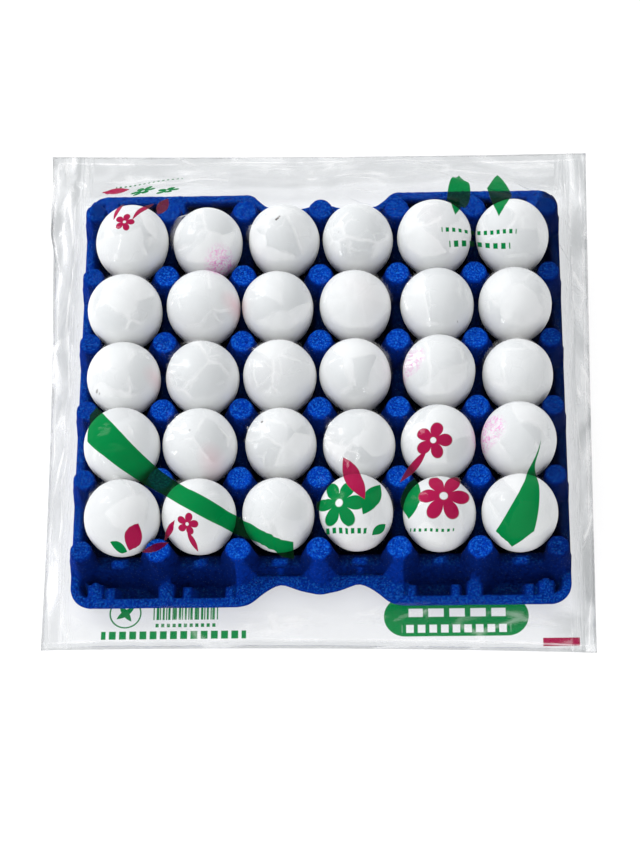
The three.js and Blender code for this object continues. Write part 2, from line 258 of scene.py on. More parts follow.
class Wiring:
    """A short way to add and join nodes in one tree."""

    def __init__(self, tree):
        self.tree = tree
        self.count = 0

    def node(self, kind, inputs=None, **settings):
        node = self.tree.nodes.new(kind)
        node.location = (220 * (self.count % 12), -260 * (self.count // 12))
        self.count += 1
        for name, value in settings.items():
            setattr(node, name, value)
        for name, value in (inputs or {}).items():
            self.put(value, node.inputs[name])
        return node

    def put(self, value, socket):
        if isinstance(value, bpy.types.NodeSocket):
            self.tree.links.new(value, socket)
        else:
            socket.default_value = value

    def math(self, operation, a, b=0.0, c=0.0, clamp=False):
        inputs = {0: a, 1: b, 2: c}
        return self.node("ShaderNodeMath", inputs, operation=operation, use_clamp=clamp).outputs[0]

    def times(self, value, *factors):
        for factor in factors:
            value = self.math("MULTIPLY", value, factor)
        return value

    def most(self, value, *others):
        for other in others:
            value = self.math("MAXIMUM", value, other)
        return value

    def off(self, value, middle):
        """How far the value is from the middle, to either side."""
        return self.math("ABSOLUTE", self.math("SUBTRACT", value, middle))

    def remap(self, value, low, high, to_low=0.0, to_high=1.0, smooth=False):
        node = self.node("ShaderNodeMapRange", {
            "Value": value, "From Min": low, "From Max": high, "To Min": to_low, "To Max": to_high,
        })
        if smooth:
            node.interpolation_type = "SMOOTHSTEP"
        return node.outputs["Result"]

    def vector(self, operation, a, b=(0.0, 0.0, 0.0), scale=1.0):
        node = self.node("ShaderNodeVectorMath", {0: a, 1: b}, operation=operation)
        if operation == "SCALE":
            self.put(scale, node.inputs["Scale"])
        return node.outputs["Value" if operation in {"LENGTH", "DOT_PRODUCT"} else "Vector"]

    def parts(self, vector):
        """The X, Y and Z of a vector."""
        return self.node("ShaderNodeSeparateXYZ", {0: vector}).outputs

    def joined(self, x, y, z=0.0):
        """The vector of an X, a Y and a Z."""
        return self.node("ShaderNodeCombineXYZ", {0: x, 1: y, 2: z}).outputs[0]

    def noise(self, vector, scale, detail=2.0, roughness=0.5, distortion=0.0):
        node = self.node("ShaderNodeTexNoise", {
            "Vector": vector, "Scale": scale, "Detail": detail, "Roughness": roughness,
            "Distortion": distortion,
        })
        return node.outputs["Fac"]

    def mix_colour(self, factor, a, b, blend="MIX"):
        node = self.node("ShaderNodeMix", data_type="RGBA", blend_type=blend)
        for index, value in ((0, factor), (6, a), (7, b)):
            self.put(value, node.inputs[index])
        return node.outputs[2]

    def object_place(self):
        return self.node("ShaderNodeTexCoord").outputs["Object"]

    def stored(self, name):
        """A number that is kept at each vertex."""
        return self.node("ShaderNodeAttribute", attribute_name=name).outputs["Fac"]

    def bump(self, height, strength, distance):
        inputs = {"Height": height, "Strength": strength, "Distance": distance}
        return self.node("ShaderNodeBump", inputs).outputs[0]

    def group(self, tree, **inputs):
        """The outputs of a node group with these inputs."""
        return self.node("ShaderNodeGroup", inputs, node_tree=tree).outputs

    def surface(self, output):
        self.node("ShaderNodeOutputMaterial", {"Surface": output})


def rgba(values):
    return (*values, 1.0)


def new_material(name):
    material = bpy.data.materials.new(name)
    material.use_nodes = True
    material.node_tree.nodes.clear()
    return material, Wiring(material.node_tree)


def new_group(name, inputs, outputs, kind="ShaderNodeTree"):
    """A node group, with the name and the kind of each of its inputs and outputs."""
    tree = bpy.data.node_groups.new(name, kind)
    for in_out, sockets in (("INPUT", inputs), ("OUTPUT", outputs)):
        for label, socket in sockets.items():
            tree.interface.new_socket(label, in_out=in_out, socket_type="NodeSocket" + socket)
    w = Wiring(tree)
    return tree, w, w.node("NodeGroupInput").outputs, w.node("NodeGroupOutput").inputs


# ---- Tray ----------------------------------------------------------------------------

# All in mm. A profile is a row of distances and the row of heights or depths at each.
FLOOR_RISE = 3.5                  # top of the cup floors
TRAY_CORNER = 13.0                # radius of the rim's outer corners
EDGE_POST_X = TRAY_HIGH[0] - 8.4  # the outer columns of posts, near the rim
POST_PROFILE = ((0, 4.6, 6.0, 6.7, 7.1, 7.5, 9.4, 15.5), (39.6, 39.8, 40, 39.8, 39.2, 37.4, 25, 1.3))
EDGE_PROFILE = ((0, 3.8, 5.2, 5.9, 6.3, 6.7, 7.8, 9.5), (39.6, 39.85, 40, 39.7, 39.0, 37.0, 22, 1.3))
POST_FLARE = (6.5, 10, 0.6)       # from here to here the posts turn four-sided, by this share
DIAGONAL = 0.707                  # turns the sum of two offsets into one along their diagonal
UNDER_GROWTH = 0.9                # share of the wall by which the underside's forms are wider
FRONT_NOTCH = ((0, 11.5, 23, 28, 34, 41, 47), (7.2, 9.8, 14.4, 12.4, 8.4, 2.0, 0))
BACK_NOTCH = ((0, 5, 12, 22, 35, 45), (8, 9.5, 11.5, 11.5, 10.5, 0.5))
NOTCH_FILLET = 2.5                # over which the notches' corners are eased
INNER_NOTCH = (49.0, 13.5)        # half width and depth of the front rim's inner edge
INNER_EDGE = TRAY_HIGH[1] - 5.5   # of the straight rim, front and back
RIBS_AT = (-134, -91.6, -45.8, 45.8, 91.6, 134)
RIB_HALF = 4.0
RIB_REACH = 9.0
KNOB_HALF = 2.1
STUBS_AT = (-124.5, -79, -53.5, 54.5, 80.5, 124)
STUB_HALF = 2.0
STUB_REACH = 7.0
DOMES_AT = (66, 109)              # low bumps at the foot of the front rim, left and right
DOME_PROFILE = ((0, 2, 3.8), (9.5, 8.8, FLOOR_RISE))
POINT_Y = 119.5                   # pointed bumps in front of the middle cups
POINT_PROFILE = ((0, 0.8, 3.5), (19, 18, FLOOR_RISE))
BLOCK_HALF = (5, 2.4)             # the small blocks on the outer ridges
BLOCK_AWAY = 1.0                  # they stand this far outside the posts
FILLETS = {"ridge": 2.0, "detail": 0.8, "post": 1.6}

# Grid lines: rings round the inner posts, lines past the outer rows, and lines at the details.
POST_RINGS = (0, 2.2, 4.2, 5.4, 6.2, 6.8, 7.3, 7.9, 8.8, 10, 11.6, 13.5, 15.8, 18.4)
EDGE_RINGS = 8                    # the outer posts' rings towards the rim end here
RIM_LINES = (9.4, 12.4, 14.4, 19.6, 20.5, 21.2, 22.2, 24, 25.4, 26.1, 26.5)
STUB_LINES = (-0.05, 0.7)         # outside a stub's side
RIB_LINES = (-0.7, 0.05, 0.7)     # outside a rib's side
POINT_LINES = (-26.5, -21, 21, 26.5)
LINE_GAP = 0.3                    # a line at a detail is dropped where another is as near
ROUND_TO = ((6.8, 8.2), (8.8, 14.5))  # where round rings turn square, at outer and inner posts
NOTCH_CLEAR = (3.5, 6.5)          # lines this far outside a row stay straight, and more at a post
NOTCH_POST = (4, 12)              # offsets from a post over which that extra part fades

# Painted light and shade on the tray: how bright each part is painted, from 0 in the dark to 1 on top of
# the inner posts, and darker where shade falls at the right end and the back.
DARKEST = 0.05
LIT_FROM = {"rim": (9, 14.5), "detail": (6, 14), "ridge": (12, 20), "side": (21.5, 32),
            "top": (38.0, 39.3)}  # heights between which each part comes out of the dark
FLAT_FADE = 1.2                   # the rim's light is gone this far inside its inner edge
DETAIL_NEAR = (-2.0, -0.5)        # a detail's height over the surface where it's unlit, and lit
BLOCK_EDGE = (-0.3, 0.4)          # how far inside a block's edge its light starts, and is full
RIDGE_LIGHT = 0.12
HOLLOW_LIGHT = 0.22               # in front of the cups
POST_LIGHT = (0.42, 0.14)         # sides of the posts, and how much less the front row's get
RIM_LIGHT = (0.62, 0.85)          # the rim, and the share that the right end loses
BLOCK_LIGHT = 0.8
BACK_SHADE = 0.35                 # share that the back row of posts loses
EDGE_SHADE = (0.45, 0.6)          # shares that the left and the right columns lose
IN_FRONT = (112, 119)             # how far forward the front of the tray starts, and is full
AT_BACK = (104, 110)
AT_RIGHT = ((138, 141), (-128, -118))  # along x, and along y behind the front corner
AT_EDGE = (-9, -7)                # from the outer columns of posts

# The pulp's surface: size of the hills in mm, seed, and height as a share of the unevenness.
WARP = ((38, 11, 1.2), (9, 12, 0.5))
GRAIN = ((2.1, 13, 1.0), (1.1, 14, 0.6))
GRAIN_SHARE = 0.7
LIP_DROP = (0.9, 1.1)             # the torn lip's drop, and the width that it runs over
WARP_RISE = (6, 12)               # the warp starts at this height, and is full so much above it
THINNEST = 0.9                    # the pulp is nowhere thinner


def notch_depth(x, y):
    """How far the rim is drawn in at x by the finger notch on that side."""
    eased = [np.abs(x + NOTCH_FILLET * share) for share in (-1, -0.5, 0, 0.5, 1)]
    front = np.mean([np.interp(at, *FRONT_NOTCH) for at in eased], axis=0)
    back = np.mean([np.interp(at, *BACK_NOTCH) for at in eased], axis=0)
    return np.where(y < 0, front, back)


def rim_inside(x, y, looks):
    """Distance in from the rim's inner edge, negative on the flat rim itself."""
    band = looks.rim_band / MM
    radius = TRAY_CORNER - band
    back_notch = np.where(y > 0, notch_depth(x, y), 0)
    across = np.abs(x) - (TRAY_HIGH[0] - band - radius)
    along = np.abs(y) - (TRAY_HIGH[1] - back_notch - band - radius)
    corner = np.hypot(np.maximum(across, 0), np.maximum(along, 0))
    inside = radius - corner - np.minimum(np.maximum(across, along), 0)
    half, depth = INNER_NOTCH
    from_notch = np.maximum(np.abs(x) - half, y + INNER_EDGE - depth)
    return np.where(y < 0, np.minimum(inside, from_notch), inside)


def post_columns(looks):
    pitch = looks.pitch_x / MM
    return np.array([-EDGE_POST_X, -2 * pitch, -pitch, 0, pitch, 2 * pitch, EDGE_POST_X])


def post_rows(looks):
    return (np.arange(6) - 2.5) * looks.pitch_y / MM


def nearest(values, centres):
    """Offset of each value from the nearest centre, and which centre that is."""
    centres = np.array(centres, float)
    which = np.abs(values[..., None] - centres).argmin(-1)
    return values - centres[which], which


def post_offsets(x, y, looks):
    """Offsets from the nearest post, and whether it stands in an outer column."""
    columns = post_columns(looks)
    dx, column = nearest(x, columns)
    dy, _ = nearest(y, post_rows(looks))
    return dx, dy, (column == 0) | (column == len(columns) - 1)


def cup_offset(x, looks):
    """How far across each x lies from the middle of its cup."""
    columns = (np.arange(6) - 2.5) * looks.pitch_x / MM
    return nearest(x, columns)[0]


def block_gap(x, y, looks):
    """Distance outside the small block on the outer ridge in front of or behind each cup."""
    half_x, half_y = BLOCK_HALF
    away = np.abs(np.abs(y) - post_rows(looks)[-1] - BLOCK_AWAY)
    return np.maximum(np.abs(cup_offset(x, looks)) - half_x, away - half_y)


def rim_details(x, y, looks, grow):
    """Height of the ribs, knobs and bumps along the rim, and of the blocks on the ridges."""
    rim = looks.rim_height / MM
    ridge = looks.ridge_height / MM
    rib_profile = ((-0.6, 0, 0.6, 2.6), (rim, rim - 0.2, rim - 1.6, FLOOR_RISE))
    knob_profile = ((-0.8, 0, 0.5, 2.0), (rim + 2.2, rim + 1.7, rim - 2, FLOOR_RISE))
    block_profile = ((-0.6, 0, 0.7), (ridge + 1.6, ridge + 1.2, FLOOR_RISE))
    notch_half, notch_in = INNER_NOTCH
    size_x, size_y = np.abs(x), np.abs(y)
    rib_x = np.abs(nearest(x, RIBS_AT)[0])
    stub_x = np.abs(nearest(x, STUBS_AT)[0])
    dome_x = nearest(size_x, DOMES_AT)[0]
    knob_y = INNER_EDGE - np.where(size_x < notch_half + 4, notch_in, RIB_REACH) + 1
    knob_x = np.minimum(rib_x, size_x)

    rib = np.maximum(rib_x - RIB_HALF, INNER_EDGE - RIB_REACH - size_y)
    knob = np.maximum(knob_x, np.abs(size_y - knob_y)) - KNOB_HALF
    stub = np.maximum(stub_x - STUB_HALF, INNER_EDGE - STUB_REACH - size_y)
    dome = np.hypot(dome_x / 2, size_y - INNER_EDGE + 1)
    point = np.maximum(np.abs(cup_offset(x, looks)), np.abs(size_y - POINT_Y))
    front = y < 0
    heights = []
    for gap, profile, where in (
        (rib, rib_profile, True),
        (knob, knob_profile, front),
        (stub, rib_profile, front),
        (dome, DOME_PROFILE, front),
        (point, POINT_PROFILE, front & (size_x < notch_half)),
        (block_gap(x, y, looks), block_profile, True),
    ):
        heights.append(np.where(where, np.interp(gap + grow, *profile), FLOOR_RISE))
    return np.max(heights, axis=0)


def paint_tray_light(x, y, top, looks):
    """Painted light and shade for the tray's colour: how much light reaches a place, 1 on top of the
    posts, little in the hollows.
    """
    details = rim_details(x, y, looks, 0)
    lit = {part: ramp(top, *heights) for part, heights in LIT_FROM.items()}
    flat = ramp(FLAT_FADE - rim_inside(x, y, looks), 0, 1) * lit["rim"]
    raised = ramp(details - top, *DETAIL_NEAR) * lit["detail"]
    rim_light, right_loss = RIM_LIGHT
    rim = rim_light * np.maximum(flat, raised)
    rim *= 1 - right_loss * ramp(x, *AT_RIGHT[0]) * ramp(y, *AT_RIGHT[1])
    ridge = RIDGE_LIGHT * lit["ridge"]
    in_front = ramp(-y, *IN_FRONT)
    side_light, front_loss = POST_LIGHT
    post = (side_light - front_loss * in_front) * lit["side"]
    post = np.maximum(post, lit["top"]) * (1 - BACK_SHADE * ramp(y, *AT_BACK))
    post *= 1 - np.where(x < 0, *EDGE_SHADE) * ramp(np.abs(x) - EDGE_POST_X, *AT_EDGE)
    block = BLOCK_LIGHT * ramp(-block_gap(x, y, looks), *BLOCK_EDGE) * (y < 0)
    hollow = HOLLOW_LIGHT * in_front
    return DARKEST + (1 - DARKEST) * np.max([rim, ridge, post, block, hollow], axis=0)


def tray_height(x, y, looks, wall=0.0):
    """Height of the tray's upper surface, or with a wall, of the surface that far below it."""
    grow = UNDER_GROWTH * wall
    dx, dy, edge = post_offsets(x, y, looks)
    diamond = (np.abs(dx) + np.abs(dy)) * DIAGONAL
    facets = np.maximum(np.maximum(np.abs(dx), np.abs(dy)), diamond)
    flare_from, flare_to, flare_share = POST_FLARE
    flare = flare_share * ramp(facets, flare_from, flare_to)
    away = 0.5 * np.hypot(dx, dy) + 0.5 * facets
    away = away * (1 - flare) + diamond * flare + grow
    post = np.where(edge, np.interp(away, *EDGE_PROFILE), np.interp(away, *POST_PROFILE))

    ridge = looks.ridge_height / MM
    ridge_profile = ((0, 2.6, 3.4, 4.0, 10.5),
                     (ridge, ridge - 0.05, ridge - 0.5, ridge - 1.4, FLOOR_RISE))
    along_rows = np.interp(np.abs(dy) + grow, *ridge_profile)
    along_columns = np.interp(np.abs(dx) + grow, *ridge_profile)
    between = ~edge & (np.abs(y) < post_rows(looks)[-1])
    along_columns = np.where(between, along_columns, FLOOR_RISE)

    rim = looks.rim_height / MM
    wall_profile = ((-1, 0, 0.5, 3.0, 3.6),
                    (rim, rim - 0.2, rim - 1.4, FLOOR_RISE + 0.4, FLOOR_RISE))
    height = np.interp(rim_inside(x, y, looks) + grow, *wall_profile)
    height = smooth_max(height, np.maximum(along_rows, along_columns), FILLETS["ridge"])
    height = smooth_max(height, rim_details(x, y, looks, grow), FILLETS["detail"])
    height = smooth_max(height, post, FILLETS["post"])
    return height - wall


def round_posts(x, y, looks):
    """Turns the square rings of grid lines round each post into circles."""
    dx, dy, edge = post_offsets(x, y, looks)
    square = np.maximum(np.abs(dx), np.abs(dy))
    away = np.maximum(np.hypot(dx, dy), 1e-9)
    blend = 1 - np.where(edge, *(ramp(square, *reach) for reach in ROUND_TO))
    factor = 1 + blend * (square / away - 1)
    return x + dx * (factor - 1), y + dy * (factor - 1)


def shape_outline(x, y, looks):
    """Draws the grid's straight front and back edges in to the notches, and rounds its corners."""
    band = looks.rim_band / MM
    half_x, half_y = TRAY_HIGH[:2]
    dx, _ = nearest(x, post_columns(looks))
    clear, at_post = NOTCH_CLEAR
    start = post_rows(looks)[-1] + clear + at_post * (1 - ramp(np.abs(dx), *NOTCH_POST))
    inner_before = half_y - band
    inner_after = half_y - notch_depth(x, y) - band
    inner_after = np.maximum(inner_after, start + 0.5)
    size = np.abs(y)
    scale = (inner_after - start) / (inner_before - start)
    squeezed = np.where(
        size < start, size,
        np.where(size < inner_before, start + (size - start) * scale,
                 inner_after + (size - inner_before)),
    )
    y = np.sign(y) * squeezed

    across = np.abs(x) - (half_x - TRAY_CORNER)
    along = np.abs(y) - (half_y - TRAY_CORNER)
    in_corner = (across > 0) & (along > 0)
    square = np.maximum(across, along)
    away = np.maximum(np.hypot(across, along), 1e-9)
    factor = np.where(in_corner, square / away, 1.0)
    x = np.where(in_corner, np.sign(x) * (half_x - TRAY_CORNER + across * factor), x)
    y = np.where(in_corner, np.sign(y) * (half_y - TRAY_CORNER + along * factor), y)
    return x, y


def tray_grid_lines(looks):
    """Where the tray's grid lines lie: close together round the posts, wide on the floors."""
    rings = np.array(POST_RINGS, float)
    both = np.concatenate([-rings[:0:-1], rings])
    columns = post_columns(looks)
    rows = post_rows(looks)
    x = [column + both for column in columns[1:-1]] + [(columns[:-1] + columns[1:]) / 2]
    y = [row + both for row in rows[1:-1]] + [(rows[:-1] + rows[1:]) / 2]
    outward = rings[rings < EDGE_RINGS]
    for side in (-1, 1):
        x.append(side * (EDGE_POST_X - rings))
        x.append(side * (EDGE_POST_X + outward[1:]))
        x.append(np.array([side * TRAY_HIGH[0]]))
        y.append(side * (rows[-1] + both))
        y.append(side * (rows[-1] + np.array(RIM_LINES)))
    lines_x, lines_y = (np.unique(np.round(np.concatenate(lines), 4)) for lines in (x, y))
    extra = [np.array(POINT_LINES)]
    for places, half, lines in ((STUBS_AT, STUB_HALF, STUB_LINES), (RIBS_AT, RIB_HALF, RIB_LINES)):
        sides = half + np.array(lines)
        extra.append((np.array(places)[:, None] + np.concatenate([-sides, sides])).ravel())
    extra = np.concatenate(extra)
    apart = np.abs(extra[:, None] - lines_x).min(1)
    return np.sort(np.concatenate([lines_x, extra[apart > LINE_GAP]])), lines_y


def hills(x, y, waves):
    """The sum of several soft noises."""
    return sum(share * smooth_noise(x, y, size, seed) for size, seed, share in waves)


def make_tray(looks):
    lines_x, lines_y = tray_grid_lines(looks)
    x, y = np.meshgrid(lines_x, lines_y)
    x, y = round_posts(x, y, looks)
    to_edge = np.minimum(TRAY_HIGH[0] - np.abs(x), TRAY_HIGH[1] - np.abs(y))
    x, y = shape_outline(x, y, looks)
    top = tray_height(x, y, looks)
    under = tray_height(x, y, looks, looks.wall / MM)

    uneven = looks.unevenness / MM
    warp_from, warp_over = WARP_RISE
    warp = uneven * hills(x, y, WARP) * (np.clip(top - warp_from, 0, warp_over) / warp_over)
    rough = GRAIN_SHARE * uneven * hills(x, y, GRAIN)
    lip_drop, lip_width = LIP_DROP
    lip = lip_drop * (1 - ramp(to_edge, 0, lip_width))
    top = top + warp + rough - lip
    under = np.minimum(under + warp, top - THINNEST)
    under = np.maximum(under, TRAY_LOW[2])

    rows, columns = x.shape
    count = rows * columns
    points = np.concatenate([np.stack([x, y, z], -1).reshape(-1, 3) for z in (top, under)])
    faces = np.concatenate([
        grid_quads(columns, rows),
        grid_quads(columns, rows, count, upward=False),
        border_quads(grid_border(columns, rows), grid_border(columns, rows, count)),
    ])
    piece = new_piece("pulp_tray", points, faces.tolist(), pulp_material(looks))
    # painted light and shade, kept at each vertex for the pulp's colour
    store_values(piece.data, "painted_shade", np.tile(paint_tray_light(x, y, top, looks).ravel(), 2))
    return piece


def pulp_material(looks):
    material, w = new_material("Blue Moulded Pulp")
    place = w.object_place()
    light = w.stored("painted_shade")
    fibres = w.noise(place, 520.0, detail=4.0, roughness=0.75, distortion=0.8)
    flecks = w.noise(place, 850.0, detail=3.0, roughness=0.7)
    clouds = w.noise(place, 60.0, detail=3.0)
    facing = w.node("ShaderNodeNewGeometry").outputs["Normal"]
    upward = w.remap(w.parts(facing)["Z"], 0.5, 0.95)
    body = w.mix_colour(w.remap(fibres, 0.36, 0.62), rgba(looks.pulp_dark), rgba(looks.pulp))
    body = w.mix_colour(w.remap(clouds, 0.35, 0.7, 0.0, 0.4), body, rgba(looks.pulp))
    worn = w.times(upward, 0.9, w.remap(flecks, 0.5, 0.62))
    body = w.mix_colour(worn, body, rgba(looks.pulp_pale))
    # painted shade: the painted light and shade darken the pulp's colour in the hollows and on the
    # shaded sides
    body = w.mix_colour(1.0, body, w.joined(light, light, light), "MULTIPLY")
    relief = w.math("ADD", fibres, w.times(flecks, 0.6))
    shader = w.node("ShaderNodeBsdfPrincipled", {
        "Base Color": body, "Roughness": w.remap(clouds, 0.3, 0.7, 0.8, 0.95),
        "Specular IOR Level": 0.03, "Normal": w.bump(relief, strength=0.6, distance=0.0008),
    })
    w.surface(shader.outputs[0])
    return material


# ---- Eggs ----------------------------------------------------------------------------

MARKS = (
    # kind, x and y in mm, radius, strength
    ("stamp", -60, 72, 12, 0.9), ("stamp", 55, 1, 10, 0.7), ("stamp", 101, -46, 11, 1.0),
    ("blush", -52, 43, 9, 0.9), ("blush", -99, -5, 8, 0.6), ("blush", -63, -62.5, 10, 0.7),
    ("speck", -26.2, 95.2, 0.9, 1.0), ("speck", -25.2, 96.1, 0.9, 1.0), ("speck", -24.3, 97.3, 0.8, 1.0),
    ("speck", -33.5, -40, 0.9, 0.9), ("speck", -134, -14, 1.0, 0.7), ("speck", -132.5, -15.6, 0.7, 0.6),
    ("speck", -76, -47, 0.6, 0.7), ("speck", 12, 88, 0.5, 0.6), ("speck", 84, 30, 0.5, 0.5),
)
LUMPS = (38.0, 1.0, 1.7, 4.0)     # the shells' unevenness: scale, detail, seed's share, strength
SPECK_EDGE = 0.4                  # mm, over which a speck fades
STAMP_EDGE = 0.35                 # share of its radius over which a stamp fades
MARK_HEIGHTS = (0.026, 0.032)     # metres, no marks below the first, all of them above the second
PAINTED_LIGHT_HEIGHTS = (0.054, 0.022)    # metres, where the painted light that makes the shells' lower ends paler starts and is full


def egg_stance(node):
    """Middle, axis towards the blunt end, half width and half length of an egg's solid, in mm."""
    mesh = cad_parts[node].data
    points = np.empty(len(mesh.vertices) * 3)
    mesh.vertices.foreach_get("co", points)
    points = np.unique(np.round(points.reshape(-1, 3) / MM, 4), axis=0)
    low = points[points[:, 2].argmin()]
    high = points[np.linalg.norm(points - low, axis=1).argmax()]
    axis = (high - low) / np.linalg.norm(high - low)
    middle = (high + low) / 2
    rel = points - middle
    off = rel - np.outer(rel @ axis, axis)
    return middle, axis, np.linalg.norm(off, axis=1).max(), np.linalg.norm(high - low) / 2


def egg_tree():
    """Geometry nodes: one egg on every point, each shell turned, sized and uneven in its own way."""
    tree, w, given, end = new_group("Eggs In Cups", {
        "Geometry": "Geometry", "Rings": "Int", "Segments": "Int", "Bluntness": "Float",
        "Unevenness": "Float", "Seed": "Int", "Shell": "Material",
    }, {"Geometry": "Geometry"}, "GeometryNodeTree")
    ball = w.node("GeometryNodeMeshUVSphere", {
        "Segments": given["Segments"], "Rings": given["Rings"], "Radius": 1.0,
    })
    parts = w.parts(w.node("GeometryNodeInputPosition").outputs[0])
    widest = w.math("ADD", w.times(w.math("POWER", given["Bluntness"], 2.0), 0.5), 1.0)
    swell = w.math("DIVIDE", w.math("MULTIPLY_ADD", parts["Z"], given["Bluntness"], 1.0), widest)
    egg = w.node("GeometryNodeSetPosition", {
        "Geometry": ball.outputs["Mesh"],
        "Position": w.joined(w.times(parts["X"], swell), w.times(parts["Y"], swell), parts["Z"]),
    })
    sizes, turns = (
        w.node("GeometryNodeInputNamedAttribute", {"Name": name}, data_type="FLOAT_VECTOR").outputs[0]
        for name in ("egg_size", "egg_turn")
    )
    placed = w.node("GeometryNodeInstanceOnPoints", {
        "Points": given["Geometry"], "Instance": egg.outputs[0], "Scale": sizes,
        "Rotation": w.node("FunctionNodeEulerToRotation", {0: turns}).outputs[0],
    })
    tone = w.node("FunctionNodeRandomValue", {"Seed": given["Seed"]}, data_type="FLOAT")
    toned = w.node("GeometryNodeStoreNamedAttribute", {
        "Geometry": placed.outputs[0], "Name": "egg_tone", "Value": tone.outputs[1],
    }, data_type="FLOAT", domain="INSTANCE")
    real = w.node("GeometryNodeRealizeInstances", {"Geometry": toned.outputs[0]})
    scale, detail, seed_share, strength = LUMPS
    lumps = w.node("ShaderNodeTexNoise", {
        "W": w.times(given["Seed"], seed_share), "Scale": scale, "Detail": detail,
    }, noise_dimensions="4D")
    amount = w.times(w.math("SUBTRACT", lumps.outputs["Fac"], 0.5), given["Unevenness"], strength)
    out = w.node("GeometryNodeInputNormal").outputs[0]
    moved = w.node("GeometryNodeSetPosition", {
        "Geometry": real.outputs[0], "Offset": w.vector("SCALE", out, scale=amount),
    })
    smooth = w.node("GeometryNodeSetShadeSmooth", {"Geometry": moved.outputs[0]})
    dressed = w.node("GeometryNodeSetMaterial", {
        "Geometry": smooth.outputs[0], "Material": given["Shell"],
    })
    w.put(dressed.outputs[0], end["Geometry"])
    return tree


def make_eggs(looks):
    stances = [egg_stance(node) for node in EGG_NODES]
    seeds = bpy.data.meshes.new("egg_places")
    seeds.from_pydata([(stance[0] * MM).tolist() for stance in stances], [], [])
    sizes = seeds.attributes.new("egg_size", "FLOAT_VECTOR", "POINT")
    turns = seeds.attributes.new("egg_turn", "FLOAT_VECTOR", "POINT")
    for index, (_, axis, half_width, half_length) in enumerate(stances):
        sizes.data[index].vector = np.array([half_width, half_width, half_length]) * MM
        lean_x = math.atan2(-axis[1], axis[2])
        lean_y = math.atan2(axis[0], math.hypot(axis[1], axis[2]))
        turns.data[index].vector = (lean_x, lean_y, 0.0)
    piece = new_object("eggs", seeds)

    tree = egg_tree()
    modifier = piece.modifiers.new("Eggs", "NODES")
    modifier.node_group = tree
    values = {
        "Rings": looks.rings, "Segments": looks.segments, "Bluntness": looks.bluntness,
        "Unevenness": looks.unevenness, "Seed": looks.seed, "Shell": shell_material(looks),
    }
    for item in tree.interface.items_tree:
        if item.in_out == "INPUT" and item.name in values:
            modifier[item.identifier] = values[item.name]
    depsgraph = bpy.context.evaluated_depsgraph_get()
    mesh = bpy.data.meshes.new_from_object(piece.evaluated_get(depsgraph))
    piece.modifiers.clear()
    piece.data = mesh
    mesh.name = "eggs"
    return piece


def mark_group():
    """Inside of a round mark seen from above on the upper side of an egg."""
    tree, w, given, end = new_group("Shell Mark", {
        "Vector": "Vector", "Place": "Vector", "Radius": "Float", "Edge": "Float",
    }, {"Inside": "Float"})
    flat = w.vector("MULTIPLY", w.vector("SUBTRACT", given["Vector"], given["Place"]), (1, 1, 0))
    depth = w.math("SUBTRACT", given["Radius"], w.vector("LENGTH", flat))
    inside = w.math("DIVIDE", depth, given["Edge"], clamp=True)
    height = w.parts(given["Vector"])["Z"]
    w.put(w.times(inside, w.remap(height, *MARK_HEIGHTS)), end["Inside"])
    return tree


def shell_material(looks):
    material, w = new_material("White Eggshell")
    place = w.object_place()
    patches = w.noise(place, 26.0)
    warm = w.times(w.remap(patches, 0.5, 0.8), w.remap(w.stored("egg_tone"), 0.5, 1.0, 0.0, 0.15))
    # painted light: paler and warmer towards the lower ends, against the shade there
    lower = w.remap(w.parts(place)["Z"], *PAINTED_LIGHT_HEIGHTS)
    shell = w.mix_colour(lower, rgba(looks.shell), rgba(looks.shell_low_painted_light))
    shell = w.mix_colour(warm, shell, rgba(looks.blush))
    mark = mark_group()
    scribble = w.remap(w.off(w.noise(place, 330.0, distortion=1.2), 0.5), 0.050, 0.026)
    inks = {"blush": looks.blush, "stamp": looks.ink, "speck": looks.speck}
    for kind, px, py, radius, strength in MARKS:
        edge = {"speck": SPECK_EDGE, "stamp": STAMP_EDGE * radius, "blush": radius}[kind]
        inside = w.group(
            mark, Vector=place, Place=(px * MM, py * MM, 0.0), Radius=radius * MM, Edge=edge * MM,
        )["Inside"]
        if kind == "stamp":
            inside = w.times(inside, scribble)
        shell = w.mix_colour(w.times(inside, strength), shell, rgba(inks[kind]))
    pores = w.noise(place, 1600.0, roughness=0.6)
    shader = w.node("ShaderNodeBsdfPrincipled", {
        "Base Color": shell, "Roughness": w.remap(patches, 0.3, 0.7, 0.42, 0.55),
        "Specular IOR Level": 0.15, "Normal": w.bump(pores, strength=0.12, distance=0.0002),
    })
    w.surface(shader.outputs[0])
    return material


# ---- Film bag ------------------------------------------------------------------------

BAG_CORNERS = ((-167, -163), (163, -168), (169, 176), (-176, 180))  # front left, then round
BAG_BOWS = (2.0, 0.5, 1.5, 3.0)   # mm, how far the front, right, back and left edges are drawn in
BAG_WIDTH = 345                   # mm
SHEET_SIZE = 375.0                # mm, the flat width of the bag's sheet
EDGE_HEIGHT = 1.4                 # mm, the sealed edges' height above the table
UNDER_HEIGHT = 0.4                # mm, the lower sheet's
LOWEST_FOLD = 0.9                 # mm, the upper sheet never sinks below it

GROUND_CELLS = 480                # along each side
GROUND_MARGIN = 2                 # mm, how far the ground goes on round the bag
RAY_HEIGHT = 0.1                  # metres, well above the eggs
TENT_STEPS = {16: 80, 8: 80, 4: 80, 2: 80, 1: 200}  # rounds by the stride of the grid
LEVELS = (4, 2, 1)                # the film is settled on a coarse grid, then on finer ones
STEPS, QUICK_STEPS = 300, 20      # on each level, and half as many on the finest
SEALED = (0.02, 0.12)             # shares of the width in from the edge where slack starts, and is full
LOOSE_EDGE = 0.1                  # share of the width over which the edge's own slack fades
CARRY = 0.9                       # share of its speed that the film keeps at each step
FASTEST = 0.4                     # of a cell, the furthest it keeps moving in one step
KICK = 0.5                        # mm, how far it is lifted before it settles on the first level
FOLD_CELLS = 6                    # depth of the kick's hills in cells
FOLD_STRETCH = 2.5                # how much deeper they are than wide

